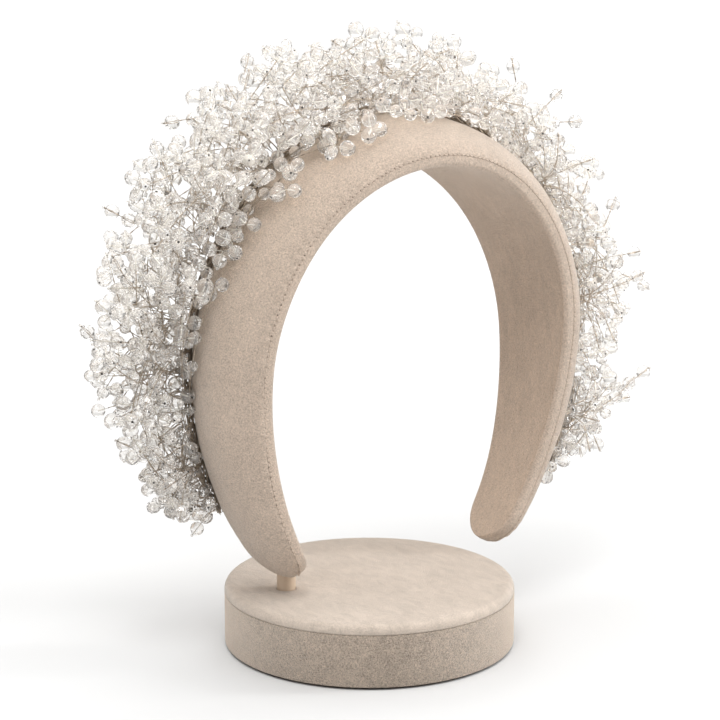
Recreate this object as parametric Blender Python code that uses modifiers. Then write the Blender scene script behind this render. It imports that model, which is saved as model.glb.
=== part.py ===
"""Padded bridal headband with a crystal bead vine, on a round cloth-covered display stand.

Units are metres, +Z is up, and the origin is the centre of the stand's underside.
The headband is drawn in its own frame: X across the head, Y from the front edge (-) to
the back edge (+), Z up. An empty then leans it over the stand, with its left tip on the
stand's post. Places on the band are given by three coordinates: the arc share (0 at the
top, -1 and +1 at the left and right tips), y across the band, and the height above the
inner face.
"""

import math
import random

import bmesh
import bpy
import numpy as np
from mathutils import Matrix, Vector

# Stand
PLINTH_RADIUS = 0.0547
PLINTH_HEIGHT = 0.0246
PLINTH_CLOTH = 0.0015
SOLE_THICKNESS = 0.0015
SOLE_SHOWN = 0.0009
TOP_CROWN = 0.0006
EDGE_ROUND = 0.0011
PLINTH_SIDES = 40
POST_RADIUS = 0.0035
POST_PLACE = (-0.0328, 0.0067)
POST_SHOWN = 0.0060
POST_IN_PLINTH = 0.012
POST_IN_TIP = 0.0030
TIP_BESIDE_POST = 0.0011
POST_SIDES = 16
PIN_RADIUS = 0.0012
PIN_LENGTH = 0.014

# Arch of the headband's inner face: a half ellipse above, part of a longer one below
ARCH_HALF_WIDTH = 0.065
ARCH_RISE = 0.0730
LEG_DROP = 0.1021
LEG_SWEEP = math.radians(49.2)
BAND_ROLL = math.radians(1.9)
BAND_LEAN = math.radians(0.4)

# Padded band
BAND_WIDTH = 0.0618
PAD_THICKNESS = 0.0170
PAD_DOME = 0.6
LINING_THICKNESS = 0.0030
LINING_ROLL = 0.0016
SEAM_INSET = 0.0008
SEAM_RISE = 0.0006
CLEARANCE = 0.0003
BAND_STATIONS = 16
TIP_STATIONS = 5
COVER_POINTS = 11

# Arc share, reach to the front edge and to the back edge as shares of half of BAND_WIDTH,
# thickness as a share of PAD_THICKNESS
BAND_SECTIONS = (
    (-1.00, 0.56, 0.40, 0.52),
    (-0.88, 0.60, 0.62, 0.74),
    (-0.65, 0.64, 0.80, 0.97),
    (-0.35, 0.84, 0.88, 0.95),
    (0.00, 1.00, 1.00, 1.00),
    (0.35, 0.84, 0.84, 0.95),
    (0.65, 0.62, 0.62, 0.97),
    (0.88, 0.45, 0.45, 0.72),
    (1.00, 0.40, 0.40, 0.52),
)

# Vine of twisted wire and the bead sprays on it
VINE_RADIUS = 0.0016
VINE_ENDS = (-0.86, 0.82)
VINE_STATIONS = 46
VINE_TWISTS = 5
VINE_SHIFT = 0.0150
WIRE_RADIUS = 0.00045
HUB_RADIUS = 0.0010
BEAD_RADIUS = 0.0030
BEAD_SIDES = 10
WIRE_SIDES = 5
CLOUD_HEIGHT = 0.0390
CLOUD_REACH = 0.0260
ROW_SPLIT = 0.0072
STRINGS_PER_SPRAY = 3

# Arc share, height above the pad as a share of CLOUD_HEIGHT, reach of the beads from the
# vine to the front and to the back as shares of CLOUD_REACH, vine's y as a share of
# VINE_SHIFT, height of the foremost beads as a share of the height there
CLOUD_SECTIONS = (
    (-1.00, 0.35, 0.20, 0.45, 1.15, 0.70),
    (-0.80, 0.60, 0.40, 0.55, 1.15, 0.65),
    (-0.60, 0.95, 0.45, 0.75, 1.00, 0.40),
    (-0.40, 1.08, 0.75, 0.95, 0.65, 0.12),
    (-0.20, 1.00, 1.10, 1.05, 0.40, 0.02),
    (0.00, 0.82, 1.10, 1.10, 0.20, 0.02),
    (0.20, 0.92, 1.05, 1.10, 0.10, 0.02),
    (0.40, 1.12, 0.95, 1.00, 0.00, 0.10),
    (0.55, 1.20, 0.80, 0.90, -0.10, 0.20),
    (0.70, 1.00, 0.60, 0.70, -0.20, 0.25),
    (0.80, 0.70, 0.45, 0.50, -0.30, 0.30),
    (1.00, 0.35, 0.30, 0.40, -0.30, 0.30),
)

# Side of the vine (-1 front, 0 above, +1 back), sprays in the row, and the lowest and
# highest bead of the row as shares of the cloud's height there
SPRAY_ROWS = (
    (-1, 8, 0.00, 0.75),
    (0, 7, 0.75, 1.00),
    (1, 9, 0.35, 1.00),
)

CLOTH_COLOUR = (0.60, 0.48, 0.39, 1.0)
LINING_COLOUR = (0.50, 0.39, 0.31, 1.0)
BOARD_COLOUR = (0.16, 0.12, 0.10, 1.0)
WIRE_COLOUR = (0.72, 0.68, 0.62, 1.0)
CRYSTAL_COLOUR = (0.92, 0.93, 0.95, 1.0)


def remove_scene_objects():
    for thing in list(bpy.data.objects):
        bpy.data.objects.remove(thing, do_unlink=True)


def new_collection(name):
    collection = bpy.data.collections.new(name)
    bpy.context.scene.collection.children.link(collection)
    return collection


def new_material(name, colour, roughness, metallic=0.0):
    material = bpy.data.materials.new(name)
    material.use_nodes = True
    shader = material.node_tree.nodes["Principled BSDF"]
    shader.inputs["Base Color"].default_value = colour
    shader.inputs["Roughness"].default_value = roughness
    shader.inputs["Metallic"].default_value = metallic
    return material


def smooth_table(rows, share):
    """Read a table at a share of its first column, along smooth curves without overshoot."""
    places = [row[0] for row in rows]
    share = min(max(share, places[0]), places[-1])
    last = len(rows) - 2
    index = max(k for k in range(last + 1) if places[k] <= share)
    span = places[index + 1] - places[index]
    t = (share - places[index]) / span
    values = []
    for column in range(1, len(rows[0])):
        steps = [
            (rows[k + 1][column] - rows[k][column]) / (places[k + 1] - places[k])
            for k in range(last + 1)
        ]

        def slope(k):
            if k == 0 or k > last:
                return 0.0 if k == 0 and places[0] == 0.0 else steps[min(k, last)]
            before, after = steps[k - 1], steps[k]
            if before * after <= 0.0:
                return 0.0
            return 2.0 * before * after / (before + after)

        start, end = rows[index][column], rows[index + 1][column]
        values.append(
            start * (2 * t**3 - 3 * t**2 + 1)
            + end * (3 * t**2 - 2 * t**3)
            + slope(index) * span * (t**3 - 2 * t**2 + t)
            + slope(index + 1) * span * (t**3 - t**2)
        )
    return values


def arch_curve():
    """Points of the right half of the inner face, top to tip, and their arc shares."""
    steps = 400
    upper = np.linspace(0.0, math.pi / 2, steps)
    lower = np.linspace(0.0, LEG_SWEEP, steps)[1:]
    x = ARCH_HALF_WIDTH * np.concatenate((np.sin(upper), np.cos(lower)))
    z = np.concatenate((ARCH_RISE * np.cos(upper), -LEG_DROP * np.sin(lower)))
    arc = np.concatenate(([0.0], np.cumsum(np.hypot(np.diff(x), np.diff(z)))))
    return x, z, arc / arc[-1], arc[-1]


ARCH_X, ARCH_Z, ARCH_SHARE, ARCH_LENGTH = arch_curve()


def arch_at(share):
    """Place and outward direction of the inner face at an arc share."""
    side = -1.0 if share < 0.0 else 1.0
    here = min(abs(share), 1.0)
    step = 0.004
    low, high = max(here - step, 0.0), min(here + step, 1.0)
    x, z = np.interp(here, ARCH_SHARE, ARCH_X), np.interp(here, ARCH_SHARE, ARCH_Z)
    along_x = np.interp(high, ARCH_SHARE, ARCH_X) - np.interp(low, ARCH_SHARE, ARCH_X)
    along_z = np.interp(high, ARCH_SHARE, ARCH_Z) - np.interp(low, ARCH_SHARE, ARCH_Z)
    if here < step:
        along_z = 0.0
    length = math.hypot(along_x, along_z)
    return side * float(x), float(z), -side * along_z / length, along_x / length


def band_point(share, y, height):
    x, z, out_x, out_z = arch_at(share)
    return Vector((x + out_x * height, y, z + out_z * height))


def band_size(share):
    """Front and back half widths and padded thickness, rounded off at the tips."""
    front_share, back_share, thickness_share = smooth_table(BAND_SECTIONS, share)
    tip_radius = BAND_WIDTH * BAND_SECTIONS[-1][1] / 2
    into_tip = (abs(share) - 1.0) * ARCH_LENGTH / tip_radius + 1.0
    rounding = math.sqrt(1.0 - min(max(into_tip, 0.0), 1.0) ** 2)
    thickness = PAD_THICKNESS * thickness_share * (0.45 + 0.55 * rounding)
    half = BAND_WIDTH / 2 * rounding
    return half * front_share, half * back_share, thickness


def band_shares():
    """Arc shares of the band's sections, closer together round the tips."""
    tip_share = BAND_WIDTH * BAND_SECTIONS[-1][1] / 2 / ARCH_LENGTH
    half = [k / BAND_STATIONS * (1.0 - tip_share) for k in range(BAND_STATIONS + 1)]
    last_angle = math.radians(81)
    for k in range(1, TIP_STATIONS + 1):
        half.append(1.0 - tip_share * (1.0 - math.sin(last_angle * k / TIP_STATIONS)))
    return [-share for share in reversed(half[1:])] + half


def pad_height(share, y):
    """Height of the padded outer face above the inner face."""
    front, back, thickness = band_size(share)
    foot = LINING_THICKNESS + CLEARANCE
    across = min(abs(y) / (front if y < 0.0 else back), 1.0)
    return foot + (thickness - foot) * (1.0 - across**2) ** PAD_DOME


def skin(name, rings):
    """Closed mesh through rings of equal or unlike counts, fan-capped at both ends."""
    shape = bmesh.new()
    loops = [[shape.verts.new(point) for point in ring] for ring in rings]
    for first, second in zip(loops, loops[1:]):
        join_rings(shape, first, second)
    for loop in (loops[0], loops[-1]):
        if len(loop) > 2:
            shape.faces.new(loop)
    bmesh.ops.triangulate(shape, faces=shape.faces[:])
    bmesh.ops.recalc_face_normals(shape, faces=shape.faces[:])
    mesh = bpy.data.meshes.new(name)
    shape.to_mesh(mesh)
    shape.free()
    return mesh


def join_rings(shape, first, second):
    """Faces between two rings with the same count, twice the count, or a single point."""
    if len(first) > len(second):
        first, second = second, first
    few, many = len(first), len(second)
    for k in range(many):
        after = (k + 1) % many
        if few == 1:
            shape.faces.new((first[0], second[k], second[after]))
        elif few == many:
            shape.faces.new((first[k], first[after], second[after], second[k]))
        elif k % 2 == 0:
            shape.faces.new((first[k // 2], second[k], second[after]))
        else:
            near, far = first[k // 2], first[(k // 2 + 1) % few]
            shape.faces.new((near, second[k], far))
            shape.faces.new((far, second[k], second[after]))


def new_part(name, mesh, material, collection, parent=None):
    part = bpy.data.objects.new(name, mesh)
    part.data.materials.append(material)
    collection.objects.link(part)
    part.parent = parent
    mesh.shade_smooth()
    mesh.set_sharp_from_angle(angle=math.radians(40))
    return part


def lining_section(share):
    """Thin strip on the inner face, its edges rolled up to the seam."""
    front, back, _ = band_size(share)
    section = []
    for half, way in ((back, 1.0), (front, -1.0)):
        roll = min(LINING_ROLL, half * 0.45)
        inset = min(SEAM_INSET, half * 0.3)
        side = [(half - inset, LINING_THICKNESS), (half, LINING_THICKNESS - SEAM_RISE)]
        for k in range(3):
            angle = math.radians(-45 * k)
            side.append((half - roll + roll * math.cos(angle), roll + roll * math.sin(angle)))
        section += [(way * y, height) for y, height in (side if way > 0.0 else side[::-1])]
    return [band_point(share, y, height) for y, height in section]


def cover_section(share):
    """Padded cover: flat against the lining, swelling up to a full rounded crown."""
    front, back, thickness = band_size(share)
    foot = LINING_THICKNESS + CLEARANCE
    section = [(back - min(SEAM_INSET, back * 0.3), foot)]
    first_angle = math.asin((SEAM_RISE / (thickness - foot)) ** (0.5 / PAD_DOME))
    for k in range(COVER_POINTS):
        angle = first_angle + (math.pi - 2 * first_angle) * k / (COVER_POINTS - 1)
        across = math.cos(angle) * (back if math.cos(angle) > 0.0 else front)
        rise = math.sin(angle) ** (2 * PAD_DOME)
        section.append((across, foot + (thickness - foot) * rise))
    section.append((min(SEAM_INSET, front * 0.3) - front, foot))
    return [band_point(share, y, height) for y, height in section]


def cylinder(name, radius, bottom, top, sides, place=(0.0, 0.0)):
    shape = bmesh.new()
    bmesh.ops.create_cone(
        shape,
        cap_ends=True,
        segments=sides,
        radius1=radius,
        radius2=radius,
        depth=top - bottom,
        matrix=Matrix.Translation((place[0], place[1], (bottom + top) / 2)),
    )
    mesh = bpy.data.meshes.new(name)
    shape.to_mesh(mesh)
    shape.free()
    return mesh


def as_cutter(name, mesh, collection):
    cutter = bpy.data.objects.new(name, mesh)
    collection.objects.link(cutter)
    cutter.hide_render = True
    cutter.display_type = "WIRE"
    return cutter


def add_boolean(part, other, operation="DIFFERENCE"):
    cut = part.modifiers.new(other.name, "BOOLEAN")
    cut.operation = operation
    cut.solver = "EXACT"
    cut.object = other


def turned_part(name, profile, material, collection):
    """Part turned about Z: a ring, or a disc whose profile of radius and height starts at r = 0."""
    count = len(profile)
    is_ring = profile[0][0] > 0.0
    points = [(radius, 0.0, height) for radius, height in profile]
    edges = [(k, (k + 1) % count) for k in range(count if is_ring else count - 1)]
    mesh = bpy.data.meshes.new(name)
    mesh.from_pydata(points, edges, [])
    part = new_part(name, mesh, material, collection)
    screw = part.modifiers.new("turn", "SCREW")
    screw.steps = PLINTH_SIDES
    screw.render_steps = PLINTH_SIDES
    screw.use_merge_vertices = True
    screw.merge_threshold = 0.00001
    screw.use_normal_calculate = True
    return part


def build_plinth(collection, cutters, cloth, board):
    """Core, sole board, side cover and top cover, with a bore for the post."""
    inside = PLINTH_RADIUS - PLINTH_CLOTH - CLEARANCE
    top_seam = PLINTH_HEIGHT - PLINTH_CLOTH - TOP_CROWN
    sole = cylinder("plinth_sole", inside, 0.0, SOLE_THICKNESS, PLINTH_SIDES)
    new_part("plinth_sole", sole, board, collection)
    core_mesh = cylinder(
        "plinth_core",
        inside,
        SOLE_THICKNESS + CLEARANCE,
        top_seam - CLEARANCE,
        PLINTH_SIDES,
    )
    core = new_part("plinth_core", core_mesh, board, collection)
    outer, inner = PLINTH_RADIUS, PLINTH_RADIUS - PLINTH_CLOTH
    side_top = top_seam - CLEARANCE
    hem = SOLE_SHOWN + SEAM_RISE
    side_profile = [
        (inner, side_top),
        (outer - SEAM_INSET, side_top),
        (outer, side_top - SEAM_RISE),
        (outer, hem),
        (outer - SEAM_INSET / 2, SOLE_SHOWN),
        (inner, SOLE_SHOWN),
    ]
    turned_part("plinth_side_cover", side_profile, cloth, collection)
    rim = PLINTH_HEIGHT - TOP_CROWN
    top_profile = [
        (0.0, PLINTH_HEIGHT),
        (outer * 0.6, PLINTH_HEIGHT - TOP_CROWN * 0.36),
        (outer - EDGE_ROUND, rim),
        (outer - EDGE_ROUND * 0.3, rim - EDGE_ROUND * 0.3),
        (outer, rim - EDGE_ROUND),
        (outer - SEAM_INSET, top_seam),
        (0.0, top_seam),
    ]
    top = turned_part("plinth_top_cover", top_profile, cloth, collection)
    bore_mesh = cylinder(
        "post_bore",
        POST_RADIUS + CLEARANCE,
        PLINTH_HEIGHT - POST_IN_PLINTH - CLEARANCE,
        PLINTH_HEIGHT + POST_SHOWN,
        POST_SIDES,
        POST_PLACE,
    )
    bore = as_cutter("post_bore", bore_mesh, cutters)
    add_boolean(core, bore)
    add_boolean(top, bore)


def band_matrix():
    """Turn of the headband, and the place that sets its left tip on the post."""
    turn = Matrix.Rotation(BAND_ROLL, 4, "Y") @ Matrix.Rotation(-BAND_LEAN, 4, "X")
    tip = turn @ band_point(-1.0, 0.0, LINING_THICKNESS)
    seat_x = POST_PLACE[0] + TIP_BESIDE_POST
    seat = Vector((seat_x, POST_PLACE[1], PLINTH_HEIGHT + POST_SHOWN))
    return Matrix.Translation(seat - tip) @ turn


def pin_matrix(place):
    """Frame of the hidden pin: it starts in the post's top and runs up the leg's padding."""
    foot = LINING_THICKNESS + CLEARANCE
    start_share = -1.0 + 0.002 / ARCH_LENGTH
    end_share = -1.0 + PIN_LENGTH / ARCH_LENGTH
    start = place @ band_point(start_share, 0.0, (foot + pad_height(start_share, 0.0)) / 2)
    end = place @ band_point(end_share, 0.0, (foot + pad_height(end_share, 0.0)) / 2)
    direction = (end - start).normalized()
    turn = direction.to_track_quat("Z", "Y").to_matrix().to_4x4()
    return Matrix.Translation(start) @ turn, (end - start).length


def build_post(collection, cutters, place, metal):
    """Post from the plinth into the left tip, with a pin up the padding, as one piece."""
    top = PLINTH_HEIGHT + POST_SHOWN + POST_IN_TIP
    bottom = PLINTH_HEIGHT - POST_IN_PLINTH
    post_mesh = cylinder("stand_post", POST_RADIUS, bottom, top, POST_SIDES, POST_PLACE)
    post = new_part("stand_post", post_mesh, metal, collection)
    frame, length = pin_matrix(place)
    pin = as_cutter("pin", cylinder("pin", PIN_RADIUS, -POST_IN_TIP / 2, length, 12), cutters)
    pin.matrix_world = frame
    add_boolean(post, pin, "UNION")
    clear = CLEARANCE
    socket_mesh = cylinder(
        "post_socket", POST_RADIUS + clear, bottom, top + clear, POST_SIDES, POST_PLACE
    )
    socket = as_cutter("post_socket", socket_mesh, cutters)
    pin_hole_mesh = cylinder("pin_hole", PIN_RADIUS + clear, -POST_IN_TIP, length + clear, 12)
    pin_hole = as_cutter("pin_hole", pin_hole_mesh, cutters)
    pin_hole.matrix_world = frame
    return socket, pin_hole


def build_band(collection, parent, cutters, cloth, lining):
    shares = band_shares()
    cover_mesh = skin("band_cover", [cover_section(share) for share in shares])
    lining_mesh = skin("band_lining", [lining_section(share) for share in shares])
    cover = new_part("band_cover", cover_mesh, cloth, collection, parent)
    strip = new_part("band_lining", lining_mesh, lining, collection, parent)
    for cutter in cutters:
        add_boolean(cover, cutter)
        add_boolean(strip, cutter)


def cloud_at(share):
    """Bead height above the pad, front and back reach, vine's y, lowest share in front."""
    height, front, back, shift, drape = smooth_table(CLOUD_SECTIONS, share)
    reach = CLOUD_REACH
    return CLOUD_HEIGHT * height, reach * front, reach * back, VINE_SHIFT * shift, drape


def cloud_point(share, aside, above):
    """Point beside the vine's line, above the padding in front and level with it behind."""
    vine_y = cloud_at(share)[3]
    ground = pad_height(share, vine_y + min(aside, 0.0))
    return band_point(share, vine_y + aside, ground + above)


def round_ring(centre, along, across, radius, sides, turn=0.0, lobes=0.0):
    """Ring of points about a centre, square to a direction, with an optional lobed outline."""
    across = (across - along * across.dot(along)).normalized()
    other = along.cross(across)
    ring = []
    for k in range(sides):
        angle = turn + math.tau * k / sides
        reach = radius * (1.0 - lobes * (k % 2))
        ring.append(centre + (across * math.cos(angle) + other * math.sin(angle)) * reach)
    return ring


def build_vine(collection, parent, material):
    """Three strands twisted into one rope that follows the top of the padding."""
    centres = []
    for k in range(VINE_STATIONS + 1):
        share = VINE_ENDS[0] + (VINE_ENDS[1] - VINE_ENDS[0]) * k / VINE_STATIONS
        centres.append(cloud_point(share, 0.0, CLEARANCE + VINE_RADIUS))
    rings = []
    for k, centre in enumerate(centres):
        before, after = centres[max(k - 1, 0)], centres[min(k + 1, VINE_STATIONS)]
        along = (after - before).normalized()
        turn = math.tau * VINE_TWISTS * k / VINE_STATIONS
        ring = round_ring(centre, along, Vector((0, 1, 0)), VINE_RADIUS, 6, turn, 0.2)
        rings.append(ring)
    new_part("vine_wire", skin("vine_wire", rings), material, collection, parent)


def bead_string(name, path, bead_places, radius):
    """Wire along a path of points with round beads threaded on its outer end."""
    rings = []
    across = Vector((0.31, 0.87, 0.38))
    for k, centre in enumerate(path):
        along = (path[min(k + 1, len(path) - 1)] - path[max(k - 1, 0)]).normalized()
        if k not in bead_places:
            rings.append(round_ring(centre, along, across, WIRE_RADIUS, WIRE_SIDES))
            continue
        flat = radius * 0.42
        wide = radius * 0.93
        rings.append(round_ring(centre - along * radius, along, across, WIRE_RADIUS, WIRE_SIDES))
        rings.append(round_ring(centre - along * flat, along, across, wide, BEAD_SIDES))
        rings.append(round_ring(centre + along * flat, along, across, wide, BEAD_SIDES))
        if k == len(path) - 1:
            rings.append([centre + along * radius])
        else:
            rings.append(
                round_ring(centre + along * radius, along, across, WIRE_RADIUS, WIRE_SIDES)
            )
    return skin(name, rings)


def string_tip(row, start, end, number, chance):
    """Place of a string's last bead: arc share, distance beside the vine, height."""
    side, _, lowest, highest = row
    spread = (number + 0.5 + chance.uniform(-0.25, 0.25)) / STRINGS_PER_SPRAY
    margin = (BEAD_RADIUS + CLEARANCE) / ARCH_LENGTH
    share = start + margin + (end - start - 2 * margin) * spread
    height, front, back, _, drape = cloud_at(share)
    room = BEAD_RADIUS + CLEARANCE
    level = chance.uniform(0.0, 1.0)
    if side == 0:
        aside = (ROW_SPLIT - room) * chance.uniform(-1.0, 1.0)
    else:
        near = ROW_SPLIT + room
        far = max((back if side > 0 else front) - BEAD_RADIUS, near)
        outward = ((number + level) / STRINGS_PER_SPRAY * 2) % 1.0
        aside = side * (near + (far - near) * outward)
        if side < 0:
            level = 1.0 - outward
            lowest = max(lowest, drape)
            highest = max(highest, drape)
    rise = (height - 3 * BEAD_RADIUS) * (lowest + (highest - lowest) * level)
    return share, aside, 2 * BEAD_RADIUS + max(rise, 0.0)


def string_path(root, tip, last_gap):
    """Points of a curved stem: hub, bend, last bead but one where there is room, last bead."""
    lift = 0.35 if root[1] == 0.0 else 0.55
    bend = (root[0], root[1] + 0.5 * (tip[1] - root[1]), root[2] + lift * (tip[2] - root[2]))
    span = (cloud_point(*tip) - cloud_point(*root)).length
    inner = 1.0 - last_gap / span
    stops = [0.0, inner / 2, inner, 1.0] if span > 2 * last_gap else [0.0, 0.4, 1.0]
    path = []
    for t in stops:
        weights = ((1 - t) ** 2, 2 * t * (1 - t), t * t)
        mixed = [sum(w * p[axis] for w, p in zip(weights, (root, bend, tip))) for axis in range(3)]
        path.append(cloud_point(*mixed))
    return path


def build_spray(name, row, index, collection, parent, material):
    """A few bead strings that fan out from one twisted hub beside or above the vine."""
    side, count = row[:2]
    chance = random.Random(100 * (side + 1) + index)
    length = (VINE_ENDS[1] - VINE_ENDS[0]) / count
    start = VINE_ENDS[0] + length * index
    from_vine = CLEARANCE + HUB_RADIUS + VINE_RADIUS
    vine_above = CLEARANCE + VINE_RADIUS
    root = (start + length / 2, side * from_vine, vine_above + (from_vine if side == 0 else 0.0))
    strings = []
    for number in range(STRINGS_PER_SPRAY):
        tip = string_tip(row, start, start + length, number, chance)
        radius = BEAD_RADIUS * chance.uniform(0.85, 1.0)
        path = string_path(root, tip, radius * chance.uniform(2.1, 2.7))
        strings.append(bead_string(name, path, range(2, len(path)), radius))
    new_part(name, fuse(name, strings, cloud_point(*root)), material, collection, parent)


def fuse(name, meshes, hub_place):
    """One closed mesh from a hub and the strings that start in it."""
    hub_shape = bmesh.new()
    bmesh.ops.create_icosphere(
        hub_shape, subdivisions=1, radius=HUB_RADIUS, matrix=Matrix.Translation(hub_place)
    )
    hub_mesh = bpy.data.meshes.new(name)
    hub_shape.to_mesh(hub_mesh)
    hub_shape.free()
    helpers = bpy.data.collections.new(name + "_strings")
    for mesh in meshes:
        helpers.objects.link(bpy.data.objects.new(name + "_string", mesh))
    hub = bpy.data.objects.new(name + "_hub", hub_mesh)
    bpy.context.scene.collection.objects.link(hub)
    bpy.context.scene.collection.children.link(helpers)
    union = hub.modifiers.new("union", "BOOLEAN")
    union.operation = "UNION"
    union.solver = "EXACT"
    union.operand_type = "COLLECTION"
    union.collection = helpers
    graph = bpy.context.evaluated_depsgraph_get()
    fused = bpy.data.meshes.new_from_object(hub.evaluated_get(graph))
    fused.name = name
    for helper in list(helpers.objects) + [hub]:
        bpy.data.objects.remove(helper, do_unlink=True)
    bpy.data.collections.remove(helpers)
    return fused


def build_model():
    remove_scene_objects()
    collection = new_collection("bridal_headband_on_stand")
    cutters = new_collection("cutters")
    cloth = new_material("sand_suede", CLOTH_COLOUR, 0.95)
    lining = new_material("lining_suede", LINING_COLOUR, 0.95)
    board = new_material("dark_board", BOARD_COLOUR, 0.8)
    wire = new_material("silver_wire", WIRE_COLOUR, 0.3, 1.0)
    crystal = new_material("clear_crystal", CRYSTAL_COLOUR, 0.05)
    post_metal = new_material("post_paint", CLOTH_COLOUR, 0.5)
    place = band_matrix()
    stand_in = bpy.data.objects.new("headband_place", None)
    collection.objects.link(stand_in)
    stand_in.matrix_world = place
    build_plinth(collection, cutters, cloth, board)
    socket, pin_hole = build_post(collection, cutters, place, post_metal)
    build_band(collection, stand_in, (socket, pin_hole), cloth, lining)
    build_vine(collection, stand_in, wire)
    number = 0
    for row in SPRAY_ROWS:
        for index in range(row[1]):
            number += 1
            name = "crystal_spray_%02d" % number
            build_spray(name, row, index, collection, stand_in, crystal)


build_model()
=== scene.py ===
"""Looks of a padded bridal headband with a crystal bead vine, on its round display stand.

The file is laid out as an add-on and is run as a script. Each operator makes one group of
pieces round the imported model. Lengths are metres. Places on the band are an arc share (0 at
the top, -1 and +1 at the tips), y across the band and a height above its inner face.
"""

import math
import random

import bpy
import numpy as np
from bpy.props import FloatProperty, FloatVectorProperty, IntProperty, PointerProperty
from mathutils import Matrix, Vector, noise
from mathutils.bvhtree import BVHTree


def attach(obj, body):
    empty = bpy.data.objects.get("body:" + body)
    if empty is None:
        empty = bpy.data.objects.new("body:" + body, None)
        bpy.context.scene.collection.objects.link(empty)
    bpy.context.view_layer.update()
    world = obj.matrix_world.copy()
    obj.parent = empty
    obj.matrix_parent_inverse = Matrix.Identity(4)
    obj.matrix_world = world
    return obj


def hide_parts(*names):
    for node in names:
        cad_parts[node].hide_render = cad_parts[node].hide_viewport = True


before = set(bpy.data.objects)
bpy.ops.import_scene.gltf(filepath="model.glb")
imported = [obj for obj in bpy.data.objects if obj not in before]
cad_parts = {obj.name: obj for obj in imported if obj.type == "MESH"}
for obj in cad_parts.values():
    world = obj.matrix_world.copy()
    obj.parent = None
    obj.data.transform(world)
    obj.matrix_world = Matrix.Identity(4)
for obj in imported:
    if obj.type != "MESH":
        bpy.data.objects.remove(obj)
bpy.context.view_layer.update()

bl_info = {
    "name": "Bridal headband on a stand",
    "version": (1, 0, 0),
    "blender": (4, 5, 0),
    "location": "3D View > Sidebar > Headband",
    "description": "Builds the cloth, beads, wire and stage of a bridal headband",
    "category": "Add Mesh",
}

# Stand, as in the CAD
PLINTH_RADIUS = 0.0547
PLINTH_HEIGHT = 0.0246
PLINTH_CLOTH = 0.0015
# SOLE_SHOWN is how much of the dark sole shows below the wall cloth, a painted shade line at the
# plinth's foot.
SOLE_SHOWN = 0.0009
TOP_CROWN = 0.0006
RIM_ROUND = 0.0028
RIM_WRAP = 0.0020
SEAM_EDGE_ROUND = 0.00033
WALL_EDGE_ROUND = 0.00054
POST_EDGE_ROUND = 0.0003
POST_RADIUS = 0.0035
POST_PLACE = (-0.0328, 0.0067)
POST_SHOWN = 0.0060
POST_IN_PLINTH = 0.012
POST_IN_TIP = 0.0030
TIP_BESIDE_POST = 0.0011
PIN_RADIUS = 0.0012
PIN_LENGTH = 0.014
PIN_INTO_TIP = 0.002
POST_SIDES = 48
PIN_SIDES = 24

# Arch and padding of the band, as in the CAD
ARCH_HALF_WIDTH = 0.065
ARCH_RISE = 0.0730
LEG_DROP = 0.1021
LEG_SWEEP = math.radians(49.2)
BAND_ROLL = math.radians(1.9)
BAND_LEAN = math.radians(0.4)
BAND_WIDTH = 0.0618
PAD_THICKNESS = 0.0170
PAD_DOME = 0.6
LINING_THICKNESS = 0.0030
SEAM_RISE = 0.0006
CLEARANCE = 0.0003
SEAM_TUCK = 0.00040
SEAM_GAP = 0.00003
ROLLED_HEIGHT = 0.0043
ROLLED_RADIUS = 0.0020
ROLLED_SHARE_AT_TIPS = 0.6
GATHERS_FROM_SEAM = 0.0016
GATHERS_SPREAD = 0.0014
PUFF_FRAMES = 12
BLOCK = 4000

# Arc share, reach to the front edge and to the back edge as shares of half of BAND_WIDTH,
# thickness as a share of PAD_THICKNESS
BAND_SECTIONS = (
    (-1.00, 0.56, 0.40, 0.52),
    (-0.88, 0.60, 0.62, 0.74),
    (-0.65, 0.64, 0.80, 0.97),
    (-0.35, 0.84, 0.88, 0.95),
    (0.00, 1.00, 1.00, 1.00),
    (0.35, 0.84, 0.84, 0.95),
    (0.65, 0.62, 0.62, 0.97),
    (0.88, 0.45, 0.45, 0.72),
    (1.00, 0.40, 0.40, 0.52),
)

# Vine and sprays, as in the CAD
VINE_RADIUS = 0.0016
VINE_ENDS = (-0.86, 0.82)
VINE_STATIONS = 46
VINE_SHIFT = 0.0150
HUB_RADIUS = 0.0010
BEAD_RADIUS = 0.0030
CLOUD_HEIGHT = 0.0390
CLOUD_REACH = 0.0260
ROW_SPLIT = 0.0072
STRINGS_PER_SPRAY = 3

# Arc share, height above the pad as a share of CLOUD_HEIGHT, reach of the beads from the
# vine to the front and to the back as shares of CLOUD_REACH, vine's y as a share of
# VINE_SHIFT, height of the foremost beads as a share of the height there
CLOUD_SECTIONS = (
    (-1.00, 0.35, 0.20, 0.45, 1.15, 0.70),
    (-0.80, 0.60, 0.40, 0.55, 1.15, 0.65),
    (-0.60, 0.95, 0.45, 0.75, 1.00, 0.40),
    (-0.40, 1.08, 0.75, 0.95, 0.65, 0.12),
    (-0.20, 1.00, 1.10, 1.05, 0.40, 0.02),
    (0.00, 0.82, 1.10, 1.10, 0.20, 0.02),
    (0.20, 0.92, 1.05, 1.10, 0.10, 0.02),
    (0.40, 1.12, 0.95, 1.00, 0.00, 0.10),
    (0.55, 1.20, 0.80, 0.90, -0.10, 0.20),
    (0.70, 1.00, 0.60, 0.70, -0.20, 0.25),
    (0.80, 0.70, 0.45, 0.50, -0.30, 0.30),
    (1.00, 0.35, 0.30, 0.40, -0.30, 0.30),
)

# Side of the vine (-1 front, 0 above, +1 back), sprays in the row, lowest and highest bead
# of the row as shares of the cloud's height there, florets added to each spray
SPRAY_ROWS = (
    (-1, 8, 0.00, 0.75, 32),
    (0, 7, 0.75, 1.00, 17),
    (1, 9, 0.35, 1.00, 18),
)

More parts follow.
